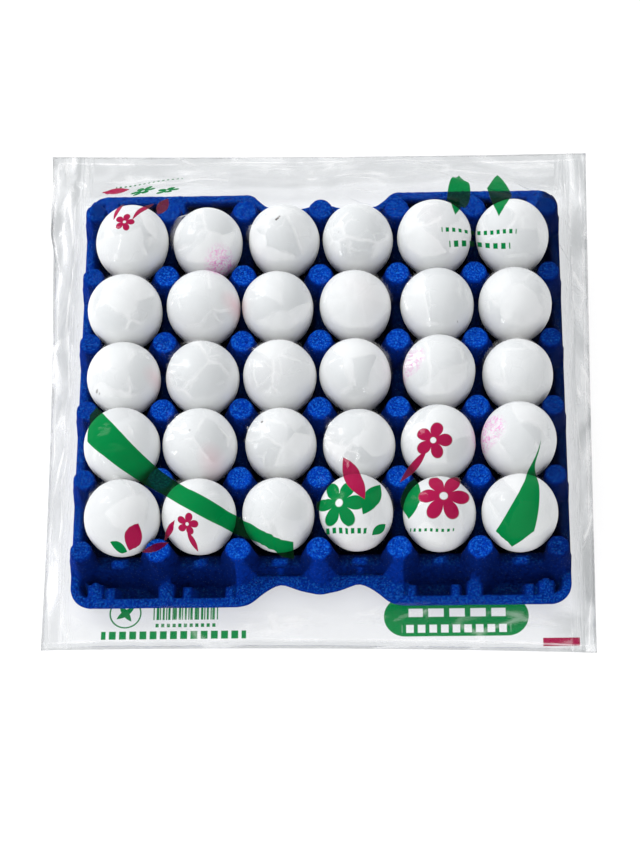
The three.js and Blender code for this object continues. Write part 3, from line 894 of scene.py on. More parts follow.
# The small facets: size in mm, what is added to the seed, and share of their height.
FACETS = ((11, 5, 1.0), (5.5, 6, 0.4))
FACET_SPOTS = (0.1, 0.9)          # shares of its cell between which a facet's middle lies
FACET_TOP = 0.8                   # share of the size at which a facet stops rising
FACET_LEAST, FACET_TOUCH = 0.35, 0.25  # shares of the height in smooth areas, and off the eggs
PATCH_SIZE, PATCH_SEED = 30, 7
PATCH_NOISE = (-0.3, 0.5)         # the noise at which an area is smooth, and is fully creased
CREASES_FORWARD = 4.0             # mm, how far in front of each egg its creased patch lies
PATCH_EDGE = (17.5, 21)           # mm, the radii between which that patch fades
PATCH_HEIGHTS = (36, 42)          # mm, it lies above these heights only

MAP_SIZE = 800.0                  # mm across the whole UV map
UPPER_MIDDLE = (200.0, 200.0)     # mm on the map, the middle of the upper sheet
LOWER_MIDDLE = (600.0, 200.0)     # mm on the map, the pack's middle on the lower sheet


class Ground:
    """Height of the tray and the eggs under the film, on a fine square grid, in mm."""

    def __init__(self, pieces):
        self.low = BAG_LOW[:2] - GROUND_MARGIN
        self.step = (BAG_HIGH[:2] - BAG_LOW[:2] + 2 * GROUND_MARGIN) / GROUND_CELLS
        depsgraph = bpy.context.evaluated_depsgraph_get()
        trees = [BVHTree.FromObject(piece, depsgraph) for piece in pieces]
        size = GROUND_CELLS + 1
        height = np.zeros((size, size))
        for i, j in np.ndindex(height.shape):
            x, y = (self.low + self.step * (i, j)) * MM
            for tree in trees:
                hit = tree.ray_cast((x, y, RAY_HEIGHT), (0, 0, -1))[0]
                if hit is not None:
                    height[i, j] = max(height[i, j], hit.z / MM)
        padded = np.pad(height, 1, mode="edge")
        around = [padded[i:i + size, j:j + size] for i in range(3) for j in range(3)]
        self.height = np.max(around, axis=0)

    def at(self, x, y):
        u = np.clip((x - self.low[0]) / self.step[0], 0, GROUND_CELLS - 1e-6)
        v = np.clip((y - self.low[1]) / self.step[1], 0, GROUND_CELLS - 1e-6)
        i = u.astype(int)
        j = v.astype(int)
        return blend_cell(self.height, i, j, u - i, v - j)


def bag_places(s, t):
    """x and y of the bag's sheet at s across and t along it, each from 0 to 1."""
    front_left, front_right, back_right, back_left = np.array(BAG_CORNERS, float)
    front = front_left + (front_right - front_left) * s[..., None]
    back = back_left + (back_right - back_left) * s[..., None]
    places = front + (back - front) * t[..., None]
    bow_front, bow_right, bow_back, bow_left = BAG_BOWS
    x = places[..., 0] + 4 * t * (1 - t) * (bow_left * (1 - s) - bow_right * s)
    y = places[..., 1] + 4 * s * (1 - s) * (bow_front * (1 - t) - bow_back * t)
    return x, y


def stretch_tent(x, y, ground, clearance):
    """Height of a taut sheet pulled down over the contents to the bag's edge."""
    floor = ground.at(x, y) + clearance
    floor[0, :] = floor[-1, :] = floor[:, 0] = floor[:, -1] = EDGE_HEIGHT
    height = floor.copy()
    fine = np.arange(len(height))
    for stride, rounds in TENT_STEPS.items():
        part = height[::stride, ::stride].copy()
        base = floor[::stride, ::stride]
        for _ in range(rounds):
            middle = (part[:-2, 1:-1] + part[2:, 1:-1] + part[1:-1, :-2] + part[1:-1, 2:]) / 4
            part[1:-1, 1:-1] = np.maximum(middle, base[1:-1, 1:-1])
        if stride > 1:
            coarse = np.arange(len(part)) * stride
            across = np.stack([np.interp(fine, coarse, column) for column in part.T], 1)
            height = np.stack([np.interp(fine, coarse, row) for row in across], 0)
            height = np.maximum(height, floor)
    return part


def keep_lengths(points, rest, along):
    """Moves each pair of neighbours, `along` = (rows, columns) apart, to its rest length."""
    rows, columns = along
    for start in (0, 1):
        if rows:
            a, b, wanted = points[start:-1:2], points[start + 1::2], rest[start::2]
        else:
            a, b, wanted = points[:, start:-1:2], points[:, start + 1::2], rest[:, start::2]
        if rows and columns == 1:
            a, b = a[:, :-1], b[:, 1:]
        elif rows and columns == -1:
            a, b = a[:, 1:], b[:, :-1]
        paired = tuple(slice(min(sizes)) for sizes in zip(a.shape[:2], b.shape[:2]))
        a, b = a[paired], b[paired]
        gap = b - a
        size = np.maximum(np.sqrt(np.einsum("ijk,ijk->ij", gap, gap)), 1e-6)
        move = gap * (0.5 * (1 - wanted[paired] / size))[..., None]
        a += move
        b -= move


def settle(points, across, along, ground, clearance, steps, looks):
    """Lets the film buckle and drape: it keeps its lengths and stays over the contents."""
    skew = np.hypot((across[:, :-1] + across[:, 1:]) / 2, (along[:-1] + along[1:]) / 2)
    border = np.zeros(points.shape[:2], bool)
    border[0, :] = border[-1, :] = border[:, 0] = border[:, -1] = True
    pinned = points[border].copy()
    velocity = np.zeros_like(points)
    reach = FASTEST * across.mean()
    for _ in range(steps):
        before = points.copy()
        points += CARRY * velocity
        points[..., 2] -= looks.weight
        keep_lengths(points, across, (1, 0))
        keep_lengths(points, along, (0, 1))
        keep_lengths(points, skew, (1, 1))
        keep_lengths(points, skew, (1, -1))
        points[1:-1] += looks.stiffness * ((points[:-2] + points[2:]) / 2 - points[1:-1])
        points[:, 1:-1] += looks.stiffness * ((points[:, :-2] + points[:, 2:]) / 2 - points[:, 1:-1])
        points[border] = pinned
        lowest = ground.at(points[..., 0], points[..., 1]) + clearance
        points[..., 2] = np.maximum(points[..., 2], np.maximum(lowest, LOWEST_FOLD))
        velocity = points - before
        speed = np.maximum(np.abs(velocity).max(-1), 1e-6)
        velocity *= np.minimum(1, reach / speed)[..., None]
    return points


def finer(points):
    """The same sheet on a grid of half the spacing."""
    size = 2 * points.shape[0] - 1
    fine = np.zeros((size, size, 3))
    fine[::2, ::2] = points
    fine[1::2, ::2] = (points[1:] + points[:-1]) / 2
    fine[:, 1::2] = (fine[:, :-2:2] + fine[:, 2::2]) / 2
    return fine


def crumple(x, y, size, seed):
    """Facets of about a `size` each, 0 along their creases and rising between them."""
    cells = 2 + int(NOISE_SPAN / size)
    spots = np.random.default_rng(seed).uniform(*FACET_SPOTS, (cells + 2, cells + 2, 2))
    u = (x + NOISE_SPAN / 2) / size
    v = (y + NOISE_SPAN / 2) / size
    i = u.astype(int)
    j = v.astype(int)
    away = []
    for di, dj in np.ndindex(3, 3):
        spot = spots[np.clip(i + di, 0, cells + 1), np.clip(j + dj, 0, cells + 1)]
        away.append(np.hypot(i + di - 1 + spot[..., 0] - u, j + dj - 1 + spot[..., 1] - v))
    away = np.sort(np.stack(away), axis=0)
    return np.minimum(away[1] - away[0], FACET_TOP)


def film_points(looks, tray_looks, ground):
    """The upper sheet's vertices in mm, a square grid from the front left corner, how much of
    each egg's creased patch lies at each, and their places across and along the sheet."""
    clearance = looks.clearance / MM
    share = np.linspace(0, 1, looks.cells + 1)
    s, t = np.meshgrid(share, share, indexing="ij")
    x, y = bag_places(s, t)
    tent = np.stack([x, y, stretch_tent(x, y, ground, clearance)], -1)
    widths = np.linalg.norm(tent[1:] - tent[:-1], axis=-1).sum(0)
    depths = np.linalg.norm(tent[:, 1:] - tent[:, :-1], axis=-1).sum(1)
    free = ramp(np.minimum(share, 1 - share), *SEALED)
    for sizes in (widths, depths):
        sizes += (looks.fullness * (sizes.max() - sizes) + looks.slack * sizes) * free
    at_side = 1 - np.minimum(np.minimum(s, 1 - s) / LOOSE_EDGE, 1)
    loose = 1 + looks.edge_slack * at_side * free[None, :]

    points = tent[::LEVELS[0], ::LEVELS[0]].copy()
    for index, stride in enumerate(LEVELS):
        if index:
            points = finer(points)
        cells = looks.cells // stride
        kick = KICK / (1 + index) * (1 + smooth_noise(
            points[..., 0] * FOLD_STRETCH, points[..., 1], FOLD_CELLS * BAG_WIDTH / cells,
            looks.seed + index,
        ))
        points[1:-1, 1:-1, 2] += kick[1:-1, 1:-1]
        across = np.tile(widths[None, ::stride] / cells, (cells, 1)) * loose[:-1:stride, ::stride]
        along = np.tile(depths[::stride, None] / cells, (1, cells))
        steps = STEPS // (1 + index // 2)
        points = settle(points, across, along, ground, clearance, steps, looks)

    flat = points[..., :2].transpose(2, 0, 1)
    facets = sum(part * crumple(*flat, size, looks.seed + more) for size, more, part in FACETS)
    rough = ramp(smooth_noise(x, y, PATCH_SIZE, looks.seed + PATCH_SEED), *PATCH_NOISE)
    patches = FACET_LEAST + (1 - FACET_LEAST) * rough
    cup_rows = (np.arange(5) - 2) * tray_looks.pitch_y / MM
    along_cup = nearest(points[..., 1], cup_rows)[0] + CREASES_FORWARD
    away = np.hypot(cup_offset(points[..., 0], tray_looks), along_cup)
    touch = (1 - ramp(away, *PATCH_EDGE)) * ramp(points[..., 2], *PATCH_HEIGHTS)
    near = FACET_TOUCH + (1 - FACET_TOUCH) * touch
    amount = looks.crumple / MM * facets * patches * near
    points[1:-1, 1:-1, 2] += amount[1:-1, 1:-1]
    return points, touch, s, t


def sheet_faces(cells):
    """Polygons of the pouch: the upper grid, and a lower one of half the cells joined to it."""
    size = cells + 1
    upper = grid_numbers(size, size, 0)
    half = cells // 2
    lower = upper[::2, ::2].copy()
    lower[1:-1, 1:-1] = grid_numbers(half - 1, half - 1, size * size)
    faces = grid_quads(size, size).tolist()
    for i, j in np.ndindex(half, half):
        ring = [lower[i, j]]
        if j == 0:
            ring.append(upper[2 * i + 1, 0])
        ring.append(lower[i + 1, j])
        if i == half - 1:
            ring.append(upper[-1, 2 * j + 1])
        ring.append(lower[i + 1, j + 1])
        if j == half - 1:
            ring.append(upper[2 * i + 1, -1])
        ring.append(lower[i, j + 1])
        if i == 0:
            ring.append(upper[0, 2 * j + 1])
        faces.append([int(corner) for corner in ring])
    return faces


def make_film(looks, tray_looks, pieces):
    points, touch, s, t = film_points(looks, tray_looks, Ground(pieces))
    inner = (slice(2, -1, 2), slice(2, -1, 2))  # the lower sheet's own vertices in the upper grid
    upper = points.transpose(1, 0, 2)
    lower = upper[inner].copy()
    lower[..., 2] = UNDER_HEIGHT
    lower = lower.reshape(-1, 3)
    everything = np.concatenate([upper.reshape(-1, 3), lower])
    mesh = bpy.data.meshes.new("film_bag")
    mesh.from_pydata((everything * MM).tolist(), [], sheet_faces(looks.cells))
    mesh.shade_smooth()
    mesh.materials.append(film_material(looks))
    inward = (np.minimum(np.minimum(s, 1 - s), np.minimum(t, 1 - t)) * SHEET_SIZE * MM).T
    store_values(mesh, "touch", np.concatenate([touch.T.ravel(), np.zeros(len(lower))]))
    store_values(mesh, "inward", np.concatenate([inward.ravel(), inward[inner].ravel()]))

    flat = np.stack([s - 0.5, t - 0.5], -1).transpose(1, 0, 2).reshape(-1, 2) * SHEET_SIZE
    flat = (np.concatenate([flat, lower[:, :2]]) + UPPER_MIDDLE) / MAP_SIZE
    below = (everything[:, :2] + LOWER_MIDDLE) / MAP_SIZE
    corners = np.empty(len(mesh.loops), int)
    mesh.loops.foreach_get("vertex_index", corners)
    is_upper = np.arange(len(corners)) < 4 * looks.cells ** 2
    sheet = mesh.uv_layers.new(name="Sheet")
    sheet.data.foreach_set("uv", np.where(is_upper[:, None], flat[corners], below[corners]).ravel())
    return new_object("film_bag", mesh)


# ---- Print ---------------------------------------------------------------------------

INK_EDGE = 0.0003                 # metres, over which a printed edge fades
LEAF_EDGE = 0.06                  # share of a leaf's width over which its edge fades
PETAL_POWER, PETAL_REACH, PETAL_ROOT = 0.6, 0.62, 0.38  # a rosette of radius 1 and its petals
PETAL_EDGE = 0.05
EYE_EDGE = (0.13, 0.17)

# Fields of colour and plain shapes, in mm from the middle of the flat upper sheet.
LEAVES = (
    # ink, x, y, turn in degrees, half length, half width
    ("magenta", 23, -85, -64, 16, 5.5), ("green", 34, -98, 62, 11, 5),
    ("green", 57, -98, 84, 13, 6), ("magenta", 58, -77, 52, 13, 2.4),
    ("magenta", -110, -122, 62, 8.5, 5), ("green", -120, -127, 150, 5.5, 3.2),
    ("magenta", -98, -128, 14, 9, 2.0), ("magenta", -88, -118, 62, 8, 1.8),
    ("magenta", -75, -124, -70, 7, 1.8), ("green", 39, -117, 40, 5, 3),
    ("magenta", -139, 158, 4, 10, 4.5), ("magenta", -95, 110, 84, 11, 3.2),
    ("magenta", -119, 97, 80, 9, 1.6), ("magenta", -105, 98, 66, 12, 1.6),
    ("green", 90.5, 127, 81, 37, 7.5), ("green", 116.5, 127, 80, 38, 8),
)
ROSETTES = (
    # ink, x, y, radius, petals
    ("green", 15.5, -101, 15, 6), ("magenta", 76, -97.5, 15, 6),
    ("magenta", 69.5, -62, 11, 5), ("magenta", -77, -113.5, 6.5, 5),
    ("magenta", -114, 86, 6, 5), ("green", -117, 148, 9, 6), ("green", -98, 139, 8, 5),
)
DASHES = (
    # ink, x, y, half length, half height, spacing, length of a dash
    ("green", 98, 80, 22, 1.5, 3.7, 2.2), ("green", 98, 71.5, 18, 2.0, 4.6, 2.9),
    ("green", 19.5, -117, 12.5, 1.9, 3.7, 2.3), ("green", 70, -117, 13, 1.1, 3.2, 1.8),
    ("green", -116, 163, 24, 0.9, 3.4, 1.8),
)

# On the lower sheet, in mm from the pack's middle.
PLATE = (80.5, -143.3, 43.2, 12.9)      # x, y, half length, half height
PLATE_DASHES = ((81, -141, 29, 2.8, 12.5, 9.5), (80.5, -151.2, 32.5, 2.7, 6.9, 4.8))
BADGE = (-117.2, -139.4, 9.2, 0.6)      # x, y, radius and half width of its ring
BADGE_LEAVES = ((35, 6.5, 2.0), (125, 6.5, 2.0))  # turn, half length, half width
LOWER_DASHES = (
    ("green", -88, -153.6, 43.5, 2.7, 6.1, 4.4), ("green", -81, -147.4, 19.5, 1.3, 3.4, 2.2),
    ("green", -81, -137, 19.5, 7, 1.9, 1.05), ("green", -81, -137, 19.5, 7, 3.3, 1.5),
    ("magenta", 142.5, -160.4, 11, 2.8, 40, 40),
)

# The ribbon, in metres: its middle line is bend * u^2 + slope * u - drop, with u = x - start.
RIBBON_SPAN = (-0.0740, 0.0610)         # middle and half length
RIBBON_START, RIBBON_BEND, RIBBON_SLOPE = -0.075, 4.04, -0.646
RIBBON_DROP = (-0.045, -0.014, 0.0995, 0.1045)  # between two x, from one drop to the other
RIBBON_HALVES = ((-0.130, -0.090, 0.0070, 0.0), (-0.090, -0.025, 0.0070, 0.0052))  # added up

# The sail, in metres: it widens below its tip to the left of a straight edge, over a pointed foot.
SAIL_TIP, SAIL_EDGE = -0.060, 0.1302    # the tip's y, the edge's x
SAIL_SPREAD, SAIL_BEND = 0.10, 1.6
SAIL_FOOT, FOOT_SLOPE = (0.1187, -0.127), 0.8


def leaf_group():
    """Inside of a pointed leaf."""
    tree, w, given, end = new_group("Leaf Shape", {
        "Vector": "Vector", "Place": "Vector", "Turn": "Vector", "Size": "Vector",
    }, {"Inside": "Float"})
    local = w.node("ShaderNodeMapping", {
        "Vector": given["Vector"], "Location": given["Place"], "Rotation": given["Turn"],
        "Scale": given["Size"],
    }, vector_type="TEXTURE").outputs[0]
    parts = w.parts(local)
    side = w.math("SUBTRACT", 1.0, w.times(parts["X"], parts["X"]))
    inside = w.math("SUBTRACT", side, w.math("ABSOLUTE", parts["Y"]))
    w.put(w.remap(inside, 0.0, LEAF_EDGE), end["Inside"])
    return tree


def rosette_group():
    """Inside of a round flower of plain petals."""
    tree, w, given, end = new_group("Rosette Shape", {
        "Vector": "Vector", "Place": "Vector", "Size": "Vector", "Petals": "Float",
    }, {"Inside": "Float"})
    local = w.node("ShaderNodeMapping", {
        "Vector": given["Vector"], "Location": given["Place"], "Scale": given["Size"],
    }, vector_type="TEXTURE").outputs[0]
    flat = w.vector("MULTIPLY", local, (1.0, 1.0, 0.0))
    parts = w.parts(flat)
    turn = w.times(w.math("ARCTAN2", parts["Y"], parts["X"]), given["Petals"], 0.5)
    lobe = w.math("ABSOLUTE", w.math("COSINE", turn))
    lobe = w.math("POWER", lobe, PETAL_POWER)
    reach = w.math("MULTIPLY_ADD", lobe, PETAL_REACH, PETAL_ROOT)
    away = w.vector("LENGTH", flat)
    petals = w.remap(w.math("SUBTRACT", reach, away), 0.0, PETAL_EDGE)
    eye = w.remap(away, *EYE_EDGE)
    w.put(w.times(petals, eye), end["Inside"])
    return tree


def pill_group():
    """Inside of a bar with round ends."""
    tree, w, given, end = new_group("Pill Shape", {
        "Vector": "Vector", "Place": "Vector", "Straight": "Float", "Radius": "Float",
    }, {"Inside": "Float"})
    parts = w.parts(w.vector("SUBTRACT", given["Vector"], given["Place"]))
    beyond = w.math("SUBTRACT", w.math("ABSOLUTE", parts["X"]), given["Straight"])
    away = w.vector("LENGTH", w.joined(w.most(beyond, 0.0), parts["Y"]))
    inside = w.remap(w.math("SUBTRACT", given["Radius"], away), 0.0, INK_EDGE)
    w.put(inside, end["Inside"])
    return tree


def band(w, value, middle, half):
    """1 where the value is within `half` of the middle."""
    return w.remap(w.math("SUBTRACT", half, w.off(value, middle)), 0.0, INK_EDGE)


def dashes(w, x, y, px, py, half_length, half_height, spacing, dash):
    """Inside of a row of dashes, whose sizes are in mm."""
    across = band(w, x, px * MM, half_length * MM)
    up = band(w, y, py * MM, half_height * MM)
    step = w.math("PINGPONG", w.math("SUBTRACT", x, px * MM), spacing / 2 * MM)
    return w.times(across, up, band(w, step, 0.0, dash / 2 * MM))


def ribbon_shape(w, x, y):
    along = w.math("SUBTRACT", x, RIBBON_START)
    bend = w.times(along, w.math("MULTIPLY_ADD", along, RIBBON_BEND, RIBBON_SLOPE))
    middle = w.math("SUBTRACT", bend, w.remap(x, *RIBBON_DROP))
    half = w.math("ADD", *(w.remap(x, *part) for part in RIBBON_HALVES))
    return w.times(band(w, y, middle, half), band(w, x, *RIBBON_SPAN))


def sail_shape(w, x, y):
    down = w.math("SUBTRACT", SAIL_TIP, y)
    half = w.times(down, w.math("MULTIPLY_ADD", down, SAIL_BEND, SAIL_SPREAD))
    body = band(w, x, w.math("SUBTRACT", SAIL_EDGE, half), half)
    foot_x, foot_y = SAIL_FOOT
    foot = w.times(w.off(x, foot_x), FOOT_SLOPE)
    above = w.math("SUBTRACT", w.math("SUBTRACT", y, foot_y), foot)
    ends = w.times(w.remap(down, 0.0, INK_EDGE), w.remap(above, 0.0, INK_EDGE))
    return w.times(body, ends)


def print_group():
    """The bag's print: how much green and how much magenta ink lies at a place."""
    tree, w, given, end = new_group(
        "Bag Print", {"Vector": "Vector"}, {"Green": "Float", "Magenta": "Float"},
    )
    place = given["Vector"]
    x, y, _ = w.parts(place)
    leaf = leaf_group()
    rosette = rosette_group()
    inks = {"green": 0.0, "magenta": 0.0}

    def add(ink, inside):
        inks[ink] = w.most(inks[ink], inside)

    def add_leaf(ink, middle, turn, half_length, half_width):
        add(ink, w.group(
            leaf, Vector=place, Place=middle, Turn=(0.0, 0.0, math.radians(turn)),
            Size=(half_length * MM, half_width * MM, 1.0),
        )["Inside"])

    for ink, px, py, *sizes in LEAVES:
        add_leaf(ink, (px * MM, py * MM, 0.0), *sizes)
    for ink, px, py, radius, petals in ROSETTES:
        add(ink, w.group(
            rosette, Vector=place, Place=(px * MM, py * MM, 0.0),
            Size=(radius * MM, radius * MM, 1.0), Petals=petals,
        )["Inside"])
    for ink, *where in DASHES:
        add(ink, dashes(w, x, y, *where))

    shift = LOWER_MIDDLE[0] - UPPER_MIDDLE[0]
    for ink, px, *where in LOWER_DASHES:
        add(ink, dashes(w, x, y, px + shift, *where))
    px, py, half_length, half_height = PLATE
    plate = w.group(
        pill_group(), Vector=place, Place=((px + shift) * MM, py * MM, 0.0),
        Straight=(half_length - half_height) * MM, Radius=half_height * MM,
    )["Inside"]
    for px, *where in PLATE_DASHES:
        plate = w.math("SUBTRACT", plate, dashes(w, x, y, px + shift, *where), clamp=True)
    add("green", plate)
    px, py, radius, half_ring = BADGE
    middle = ((px + shift) * MM, py * MM, 0.0)
    ring = w.vector("LENGTH", w.vector("MULTIPLY", w.vector("SUBTRACT", place, middle), (1, 1, 0)))
    add("green", band(w, ring, radius * MM, half_ring * MM))
    for sizes in BADGE_LEAVES:
        add_leaf("green", middle, *sizes)

    add("green", ribbon_shape(w, x, y))
    add("green", sail_shape(w, x, y))
    w.put(inks["green"], end["Green"])
    w.put(inks["magenta"], end["Magenta"])
    return tree


# ---- Film material -------------------------------------------------------------------

# Distances in metres. A pair is where a change starts and where it is full; a row of four also
# gives the value at each of the two.
LARGE_CREASES = {"Scale": 46.0, "Width": 0.09, "Broken": 0.42}
SMALL_CREASES = {"Scale": 88.0, "Width": 0.07, "Broken": 0.50}
MARGIN_CREASES = {"Scale": 70.0, "Width": 0.10, "Broken": 0.50}
CREASE_WANDER = 0.006             # how far a crease strays from a straight line
CREASE_FADE = 0.12                # how softly it breaks off
CREASE_TOP = 0.4                  # where a facet stops rising away from its creases
SIDE_MARGIN = (0.148, 0.157)
END_MARGIN = (0.141, 0.146)
MARGIN_STRETCH = ((0.35, 1.0), (1.0, 0.3))  # x and y scales of the streaks: ends, then sides
SEAM_AT, SEAM_HALF = 0.0050, 0.0010
SEAM_WHITE = (0.40, 0.62, 0.1, 0.5)
# Painted highlights: how white the creases and facets on the eggs, the streaks in the margins and the
# line along the seal are painted.
LARGE_WHITE, SMALL_WHITE = 0.21, 0.16
STREAK_WHITE = (0.2, 0.5)         # in the end margins, and in the side margins
STREAK_CLOUDS = (0.60, 0.70)      # the noise between which a cloudy streak appears
PATCH_WHITE = (0.3, 1.0, 0.0, 0.20)
SOLID_WHITE = (0.0, 0.1)          # the painted highlight's strength at which the film starts to be solid, and is
# Painted shade on the margins: greyer to the right, where the tray's shadow falls, towards the back and
# at the far left.
DIM_RIGHT = ((0.13, 0.16), (-0.12, 0.12, 0.9, 0.2))  # along x, and along y
DIM_BACK = (-0.15, 0.12, 0.14, 0.62)
DIM_LEFT = (-0.148, -0.157, 0.0, 0.24)
LEAST_SHADE = (0.72, 0.4)               # least painted shade in the end margins, and in the side margins
SHADE_CLOUDS = (0.60, 0.38)       # the noise at which the painted shade is least, and is full
DARK_FACETS = (0.55, 0.0)
SEALED_TO = (0.0052, 0.0048)      # how far in from the edge the sealed strip's grey reaches
# Painted shade on the eggs' large and small facets, and the sealed strip's own grey.
FACET_GREY, SMALL_GREY, SEALED_GREY = 0.40, 0.20, 0.4
SHEEN_NEAR, SHEEN_FAR = 0.36, 0.02
INK_SHARE, MAGENTA_SHARE = 0.06, 0.2  # how solid the inks are


def crease_group():
    """Thin broken lines where the film was creased, and the facets between them."""
    tree, w, given, end = new_group("Film Creases", {
        "Vector": "Vector", "Scale": "Float", "Width": "Float", "Broken": "Float",
    }, {"Lines": "Float", "Facets": "Float", "Height": "Float"})
    wander = w.node("ShaderNodeTexNoise", {"Vector": given["Vector"], "Scale": 70.0, "Detail": 1.0})
    shift = w.vector("SUBTRACT", wander.outputs["Color"], (0.5, 0.5, 0.5))
    where = w.vector("ADD", given["Vector"], w.vector("SCALE", shift, scale=CREASE_WANDER))
    inputs = {"Vector": where, "Scale": given["Scale"]}
    edge = w.node("ShaderNodeTexVoronoi", inputs, feature="DISTANCE_TO_EDGE").outputs["Distance"]
    cell = w.node("ShaderNodeTexVoronoi", inputs).outputs["Color"]
    gate = w.noise(given["Vector"], 55.0)
    gate = w.remap(gate, given["Broken"], w.math("ADD", given["Broken"], CREASE_FADE))
    w.put(w.times(w.remap(edge, given["Width"], 0.0, smooth=True), gate), end["Lines"])
    w.put(w.node("ShaderNodeSeparateColor", {0: cell}).outputs["Red"], end["Facets"])
    w.put(w.math("MINIMUM", edge, CREASE_TOP), end["Height"])
    return tree


def film_material(looks):
    material, w = new_material("Clear Film")
    place = w.object_place()
    x, y, _ = w.parts(place)
    touch = w.stored("touch")
    inward = w.stored("inward")
    side = w.remap(w.math("ABSOLUTE", x), *SIDE_MARGIN)
    outside = w.most(side, w.remap(w.math("ABSOLUTE", y), *END_MARGIN))
    scale_x, scale_y = (w.remap(side, 0.0, 1.0, *scales) for scales in MARGIN_STRETCH)
    lengthwise = w.joined(w.times(x, scale_x), w.times(y, scale_y))
    creases = crease_group()
    large = w.group(creases, Vector=place, **LARGE_CREASES)
    small = w.group(creases, Vector=place, **SMALL_CREASES)
    margins = w.group(creases, Vector=lengthwise, **MARGIN_CREASES)
    clouds = w.noise(lengthwise, 75.0, distortion=1.2)

    # Painted highlights: white creases and facets where the film touches the eggs, white streaks in the
    # margins, and a white line along the seal.
    lines = w.most(w.times(large["Lines"], LARGE_WHITE), w.times(small["Lines"], SMALL_WHITE))
    seam_highlight = w.remap(w.off(inward, SEAM_AT), SEAM_HALF, 0.0, smooth=True)
    seam_highlight = w.times(seam_highlight, w.remap(clouds, *SEAM_WHITE))
    streak_highlights = w.most(margins["Lines"], w.remap(clouds, *STREAK_CLOUDS))
    streak_highlights = w.most(w.times(streak_highlights, w.remap(side, 0.0, 1.0, *STREAK_WHITE)), seam_highlight)
    facet_highlights = w.remap(large["Facets"], *PATCH_WHITE)
    painted_highlights = w.most(w.times(lines, touch), w.times(streak_highlights, outside), w.times(facet_highlights, touch))

    # Painted shade: the margins are painted grey by place and in clouds, and the eggs' facets in
    # patches; the sealed strip keeps its own grey.
    dim_x, dim_y = DIM_RIGHT
    painted_margin_shade = w.math("ADD", w.times(w.remap(x, *dim_x), w.remap(y, *dim_y)), w.remap(y, *DIM_BACK))
    painted_margin_shade = w.math("ADD", painted_margin_shade, w.remap(x, *DIM_LEFT))
    cloudy_shade = w.remap(clouds, *SHADE_CLOUDS, w.remap(side, 0.0, 1.0, *LEAST_SHADE), 1.0)
    shade_and_seal_grey = w.most(
        w.times(outside, painted_margin_shade, cloudy_shade),
        w.times(touch, FACET_GREY, w.remap(large["Facets"], *DARK_FACETS)),
        w.times(w.remap(inward, *SEALED_TO), SEALED_GREY),
        w.times(touch, SMALL_GREY, small["Facets"]),
    )

    sheet = w.vector("SCALE", w.node("ShaderNodeUVMap", uv_map="Sheet").outputs["UV"],
                     scale=MAP_SIZE * MM)
    sheet = w.vector("SUBTRACT", sheet, (UPPER_MIDDLE[0] * MM, UPPER_MIDDLE[1] * MM, 0.0))
    ink = w.group(print_group(), Vector=sheet)
    magenta = ink["Magenta"]
    printed = w.most(ink["Green"], magenta)
    dye = w.mix_colour(magenta, rgba(looks.green), rgba(looks.magenta))

    glass = w.mix_colour(shade_and_seal_grey, rgba(looks.tint), rgba(looks.tint_shade_and_seal))
    clear = w.node("ShaderNodeBsdfTransparent", {"Color": w.mix_colour(printed, glass, dye)})
    relief = w.math("ADD", large["Height"], w.times(small["Height"], 0.5))
    bump = w.bump(relief, strength=0.6, distance=0.002)
    solid = w.most(printed, w.remap(painted_highlights, *SOLID_WHITE))
    skin = w.node("ShaderNodeBsdfPrincipled", {
        "Base Color": w.mix_colour(printed, (1.0, 1.0, 1.0, 1.0), dye), "Roughness": 0.12,
        "Metallic": w.math("SUBTRACT", 1.0, solid), "Normal": bump,
    })
    sheen = w.node("ShaderNodeFresnel", {"IOR": 1.5, "Normal": bump}).outputs[0]
    near = w.most(touch, outside)
    sheen = w.times(sheen, w.math("MULTIPLY_ADD", near, SHEEN_NEAR, SHEEN_FAR))
    inked = w.math("ADD", w.times(printed, INK_SHARE), w.times(magenta, MAGENTA_SHARE))
    share = w.math("ADD", sheen, w.most(painted_highlights, inked), clamp=True)
    seen = w.node("ShaderNodeMixShader", {0: share, 1: clear.outputs[0], 2: skin.outputs[0]})

    passed = w.node("ShaderNodeBsdfTransparent", {"Color": rgba(looks.tint)}).outputs[0]
    rays = w.node("ShaderNodeLightPath").outputs
    surface = seen.outputs[0]
    for kind in ("Is Diffuse Ray", "Is Shadow Ray"):
        inputs = {0: rays[kind], 1: surface, 2: passed}
        surface = w.node("ShaderNodeMixShader", inputs).outputs[0]
    w.surface(surface)
    return material


# ---- Stage ---------------------------------------------------------------------------

FLOOR_HALF = 2.5                  # metres
KEY_LAMP = {"place": (-1.35, 0.75, 1.15), "aim": (0, 0, 0), "size": (0.3, 0.9), "power": 11}

# The world's light by direction: a pair or row of four as in the film's material.
WORLD_LIGHT = 1.14
RING_LIGHT = 0.25                 # added in a ring round the sides
RING_TOP = (0.82, 0.62)           # the ring's upper edge, by how steep a direction rises
RING_FOOT = (0.0, 0.12)
RING_TOWARD = (-0.55, 0.83, 0.0)  # the ring is full to the left and behind
RING_SHARE = (-0.55, 0.6, 0.1, 1.0)
FRONT_LIGHT = (-0.9, 0.1, 0.94, 1.0)
RIGHT_LIGHT = (0.5, 0.92, 1.0, 0.15)


def make_floor(looks):
    half = FLOOR_HALF
    mesh = bpy.data.meshes.new("floor")
    corners = [(-half, -half, 0), (half, -half, 0), (half, half, 0), (-half, half, 0)]
    mesh.from_pydata(corners, [], [(0, 1, 2, 3)])
    material, w = new_material("Pale Floor")
    shader = w.node("ShaderNodeBsdfPrincipled", {
        "Base Color": rgba(looks.floor), "Roughness": 0.9,
        "Emission Color": (1.0, 1.0, 1.0, 1.0), "Emission Strength": looks.floor_glow,
    })
    w.surface(shader.outputs[0])
    mesh.materials.append(material)
    floor = new_object("floor", mesh)


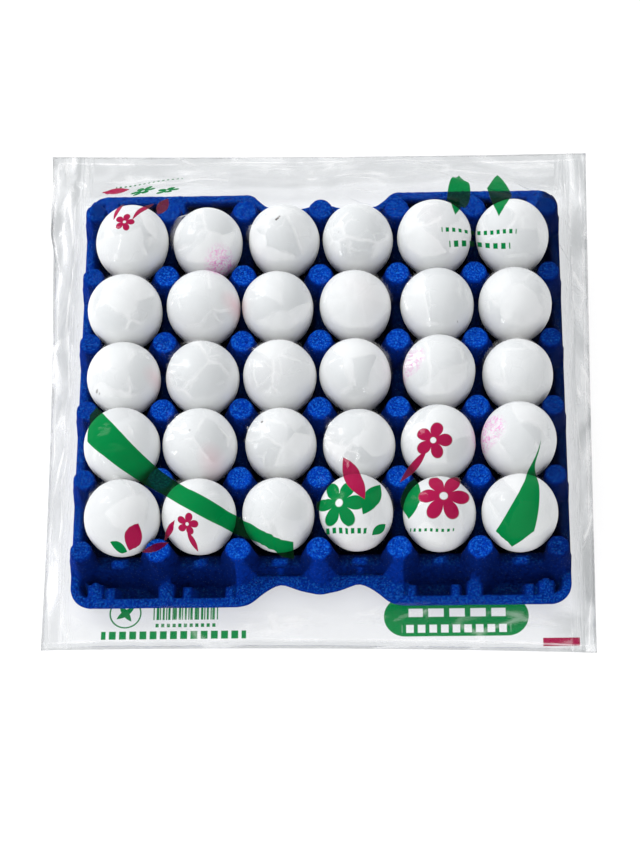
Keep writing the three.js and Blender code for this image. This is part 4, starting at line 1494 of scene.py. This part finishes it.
def make_lamp(name, place, aim, size, power):
    lamp = bpy.data.lights.new(name, "AREA")
    lamp.shape = "RECTANGLE"
    lamp.size, lamp.size_y = size
    lamp.energy = power
    holder = new_object(name, lamp)
    holder.location = place
    holder.rotation_euler = (Vector(aim) - Vector(place)).to_track_quat("-Z", "Y").to_euler()


def make_camera(looks):
    flat = math.cos(looks.elevation)
    back = Vector((math.sin(looks.azimuth) * flat, -math.cos(looks.azimuth) * flat,
                   math.sin(looks.elevation)))
    turned = (-back).to_track_quat("-Z", "Y").to_matrix() @ Matrix.Rotation(looks.roll, 3, "Z")
    data = bpy.data.cameras.new("camera")
    data.sensor_width = 36.0
    data.lens = looks.lens
    camera = new_object("camera", data)
    place = Vector(looks.aim) + back * looks.distance
    camera.matrix_world = Matrix.Translation(place) @ turned.to_4x4()
    bpy.context.scene.camera = camera


def make_world():
    """An even light with a brighter ring to the left and behind, and less light from the right."""
    world = bpy.data.worlds.new("studio")
    bpy.context.scene.world = world
    world.use_nodes = True
    world.node_tree.nodes.clear()
    w = Wiring(world.node_tree)
    toward = w.node("ShaderNodeTexCoord").outputs["Generated"]
    right, _, rise = w.parts(toward)
    behind = w.vector("DOT_PRODUCT", toward, RING_TOWARD)
    ring = w.times(w.remap(rise, *RING_TOP, smooth=True), w.remap(rise, *RING_FOOT),
                   w.remap(behind, *RING_SHARE, smooth=True))
    light = w.times(w.math("MULTIPLY_ADD", ring, RING_LIGHT, WORLD_LIGHT),
                    w.remap(behind, *FRONT_LIGHT), w.remap(right, *RIGHT_LIGHT))
    glow = w.node("ShaderNodeBackground", {"Color": (1.0, 1.0, 1.0, 1.0), "Strength": light})
    w.node("ShaderNodeOutputWorld", {"Surface": glow.outputs[0]})
    bpy.context.scene.view_settings.view_transform = "Standard"


# ---- Operators and panel -------------------------------------------------------------

class EGGPACK_OT_stage(bpy.types.Operator):
    """Make the floor, the lights, the world and the camera"""
    bl_idname = "eggpack.stage"
    bl_label = "Stage"

    def execute(self, context):
        looks = context.scene.eggpack_stage
        make_world()
        make_floor(looks)
        make_lamp("key", **KEY_LAMP)
        make_camera(looks)
        return {"FINISHED"}


class EGGPACK_OT_tray(bpy.types.Operator):
    """Make the moulded pulp tray"""
    bl_idname = "eggpack.tray"
    bl_label = "Pulp Tray"

    def execute(self, context):
        piece = make_tray(context.scene.eggpack_tray)
        finish_piece(piece, ["tray"])
        return {"FINISHED"}


class EGGPACK_OT_eggs(bpy.types.Operator):
    """Stand an egg in every cup"""
    bl_idname = "eggpack.eggs"
    bl_label = "Eggs"

    def execute(self, context):
        piece = make_eggs(context.scene.eggpack_eggs)
        finish_piece(piece, EGG_NODES)
        return {"FINISHED"}


class EGGPACK_OT_film(bpy.types.Operator):
    """Drape the clear film bag over the tray and the eggs"""
    bl_idname = "eggpack.film"
    bl_label = "Film Bag"

    def execute(self, context):
        contents = [bpy.data.objects[name] for name in ("pulp_tray", "eggs")]
        scene = context.scene
        piece = make_film(scene.eggpack_film, scene.eggpack_tray, contents)
        finish_piece(piece, ["bag"])
        return {"FINISHED"}


class EGGPACK_PT_panel(bpy.types.Panel):
    """The pack's pieces and the stage"""
    bl_label = "Bagged Tray of Eggs"
    bl_idname = "EGGPACK_PT_panel"
    bl_space_type = "VIEW_3D"
    bl_region_type = "UI"
    bl_category = "Eggs"

    def draw(self, context):
        for operator, group, _ in GROUPS:
            box = self.layout.box()
            box.operator(operator)
            looks = getattr(context.scene, group)
            for name in looks.__annotations__:
                box.prop(looks, name)


GROUPS = (
    # operator, name of its properties in the scene, their class
    ("eggpack.stage", "eggpack_stage", StageLooks),
    ("eggpack.tray", "eggpack_tray", TrayLooks),
    ("eggpack.eggs", "eggpack_eggs", EggLooks),
    ("eggpack.film", "eggpack_film", FilmLooks),
)
CLASSES = (
    StageLooks, TrayLooks, EggLooks, FilmLooks,
    EGGPACK_OT_stage, EGGPACK_OT_tray, EGGPACK_OT_eggs, EGGPACK_OT_film, EGGPACK_PT_panel,
)


def register():
    for cls in CLASSES:
        bpy.utils.register_class(cls)
    for _, name, looks in GROUPS:
        setattr(bpy.types.Scene, name, bpy.props.PointerProperty(type=looks))


def unregister():
    for _, name, _ in GROUPS:
        delattr(bpy.types.Scene, name)
    for cls in reversed(CLASSES):
        bpy.utils.unregister_class(cls)


def main():
    register()
    bpy.ops.eggpack.stage()
    bpy.ops.eggpack.tray()
    bpy.ops.eggpack.eggs()
    bpy.ops.eggpack.film()


if __name__ == "__main__":
    main()
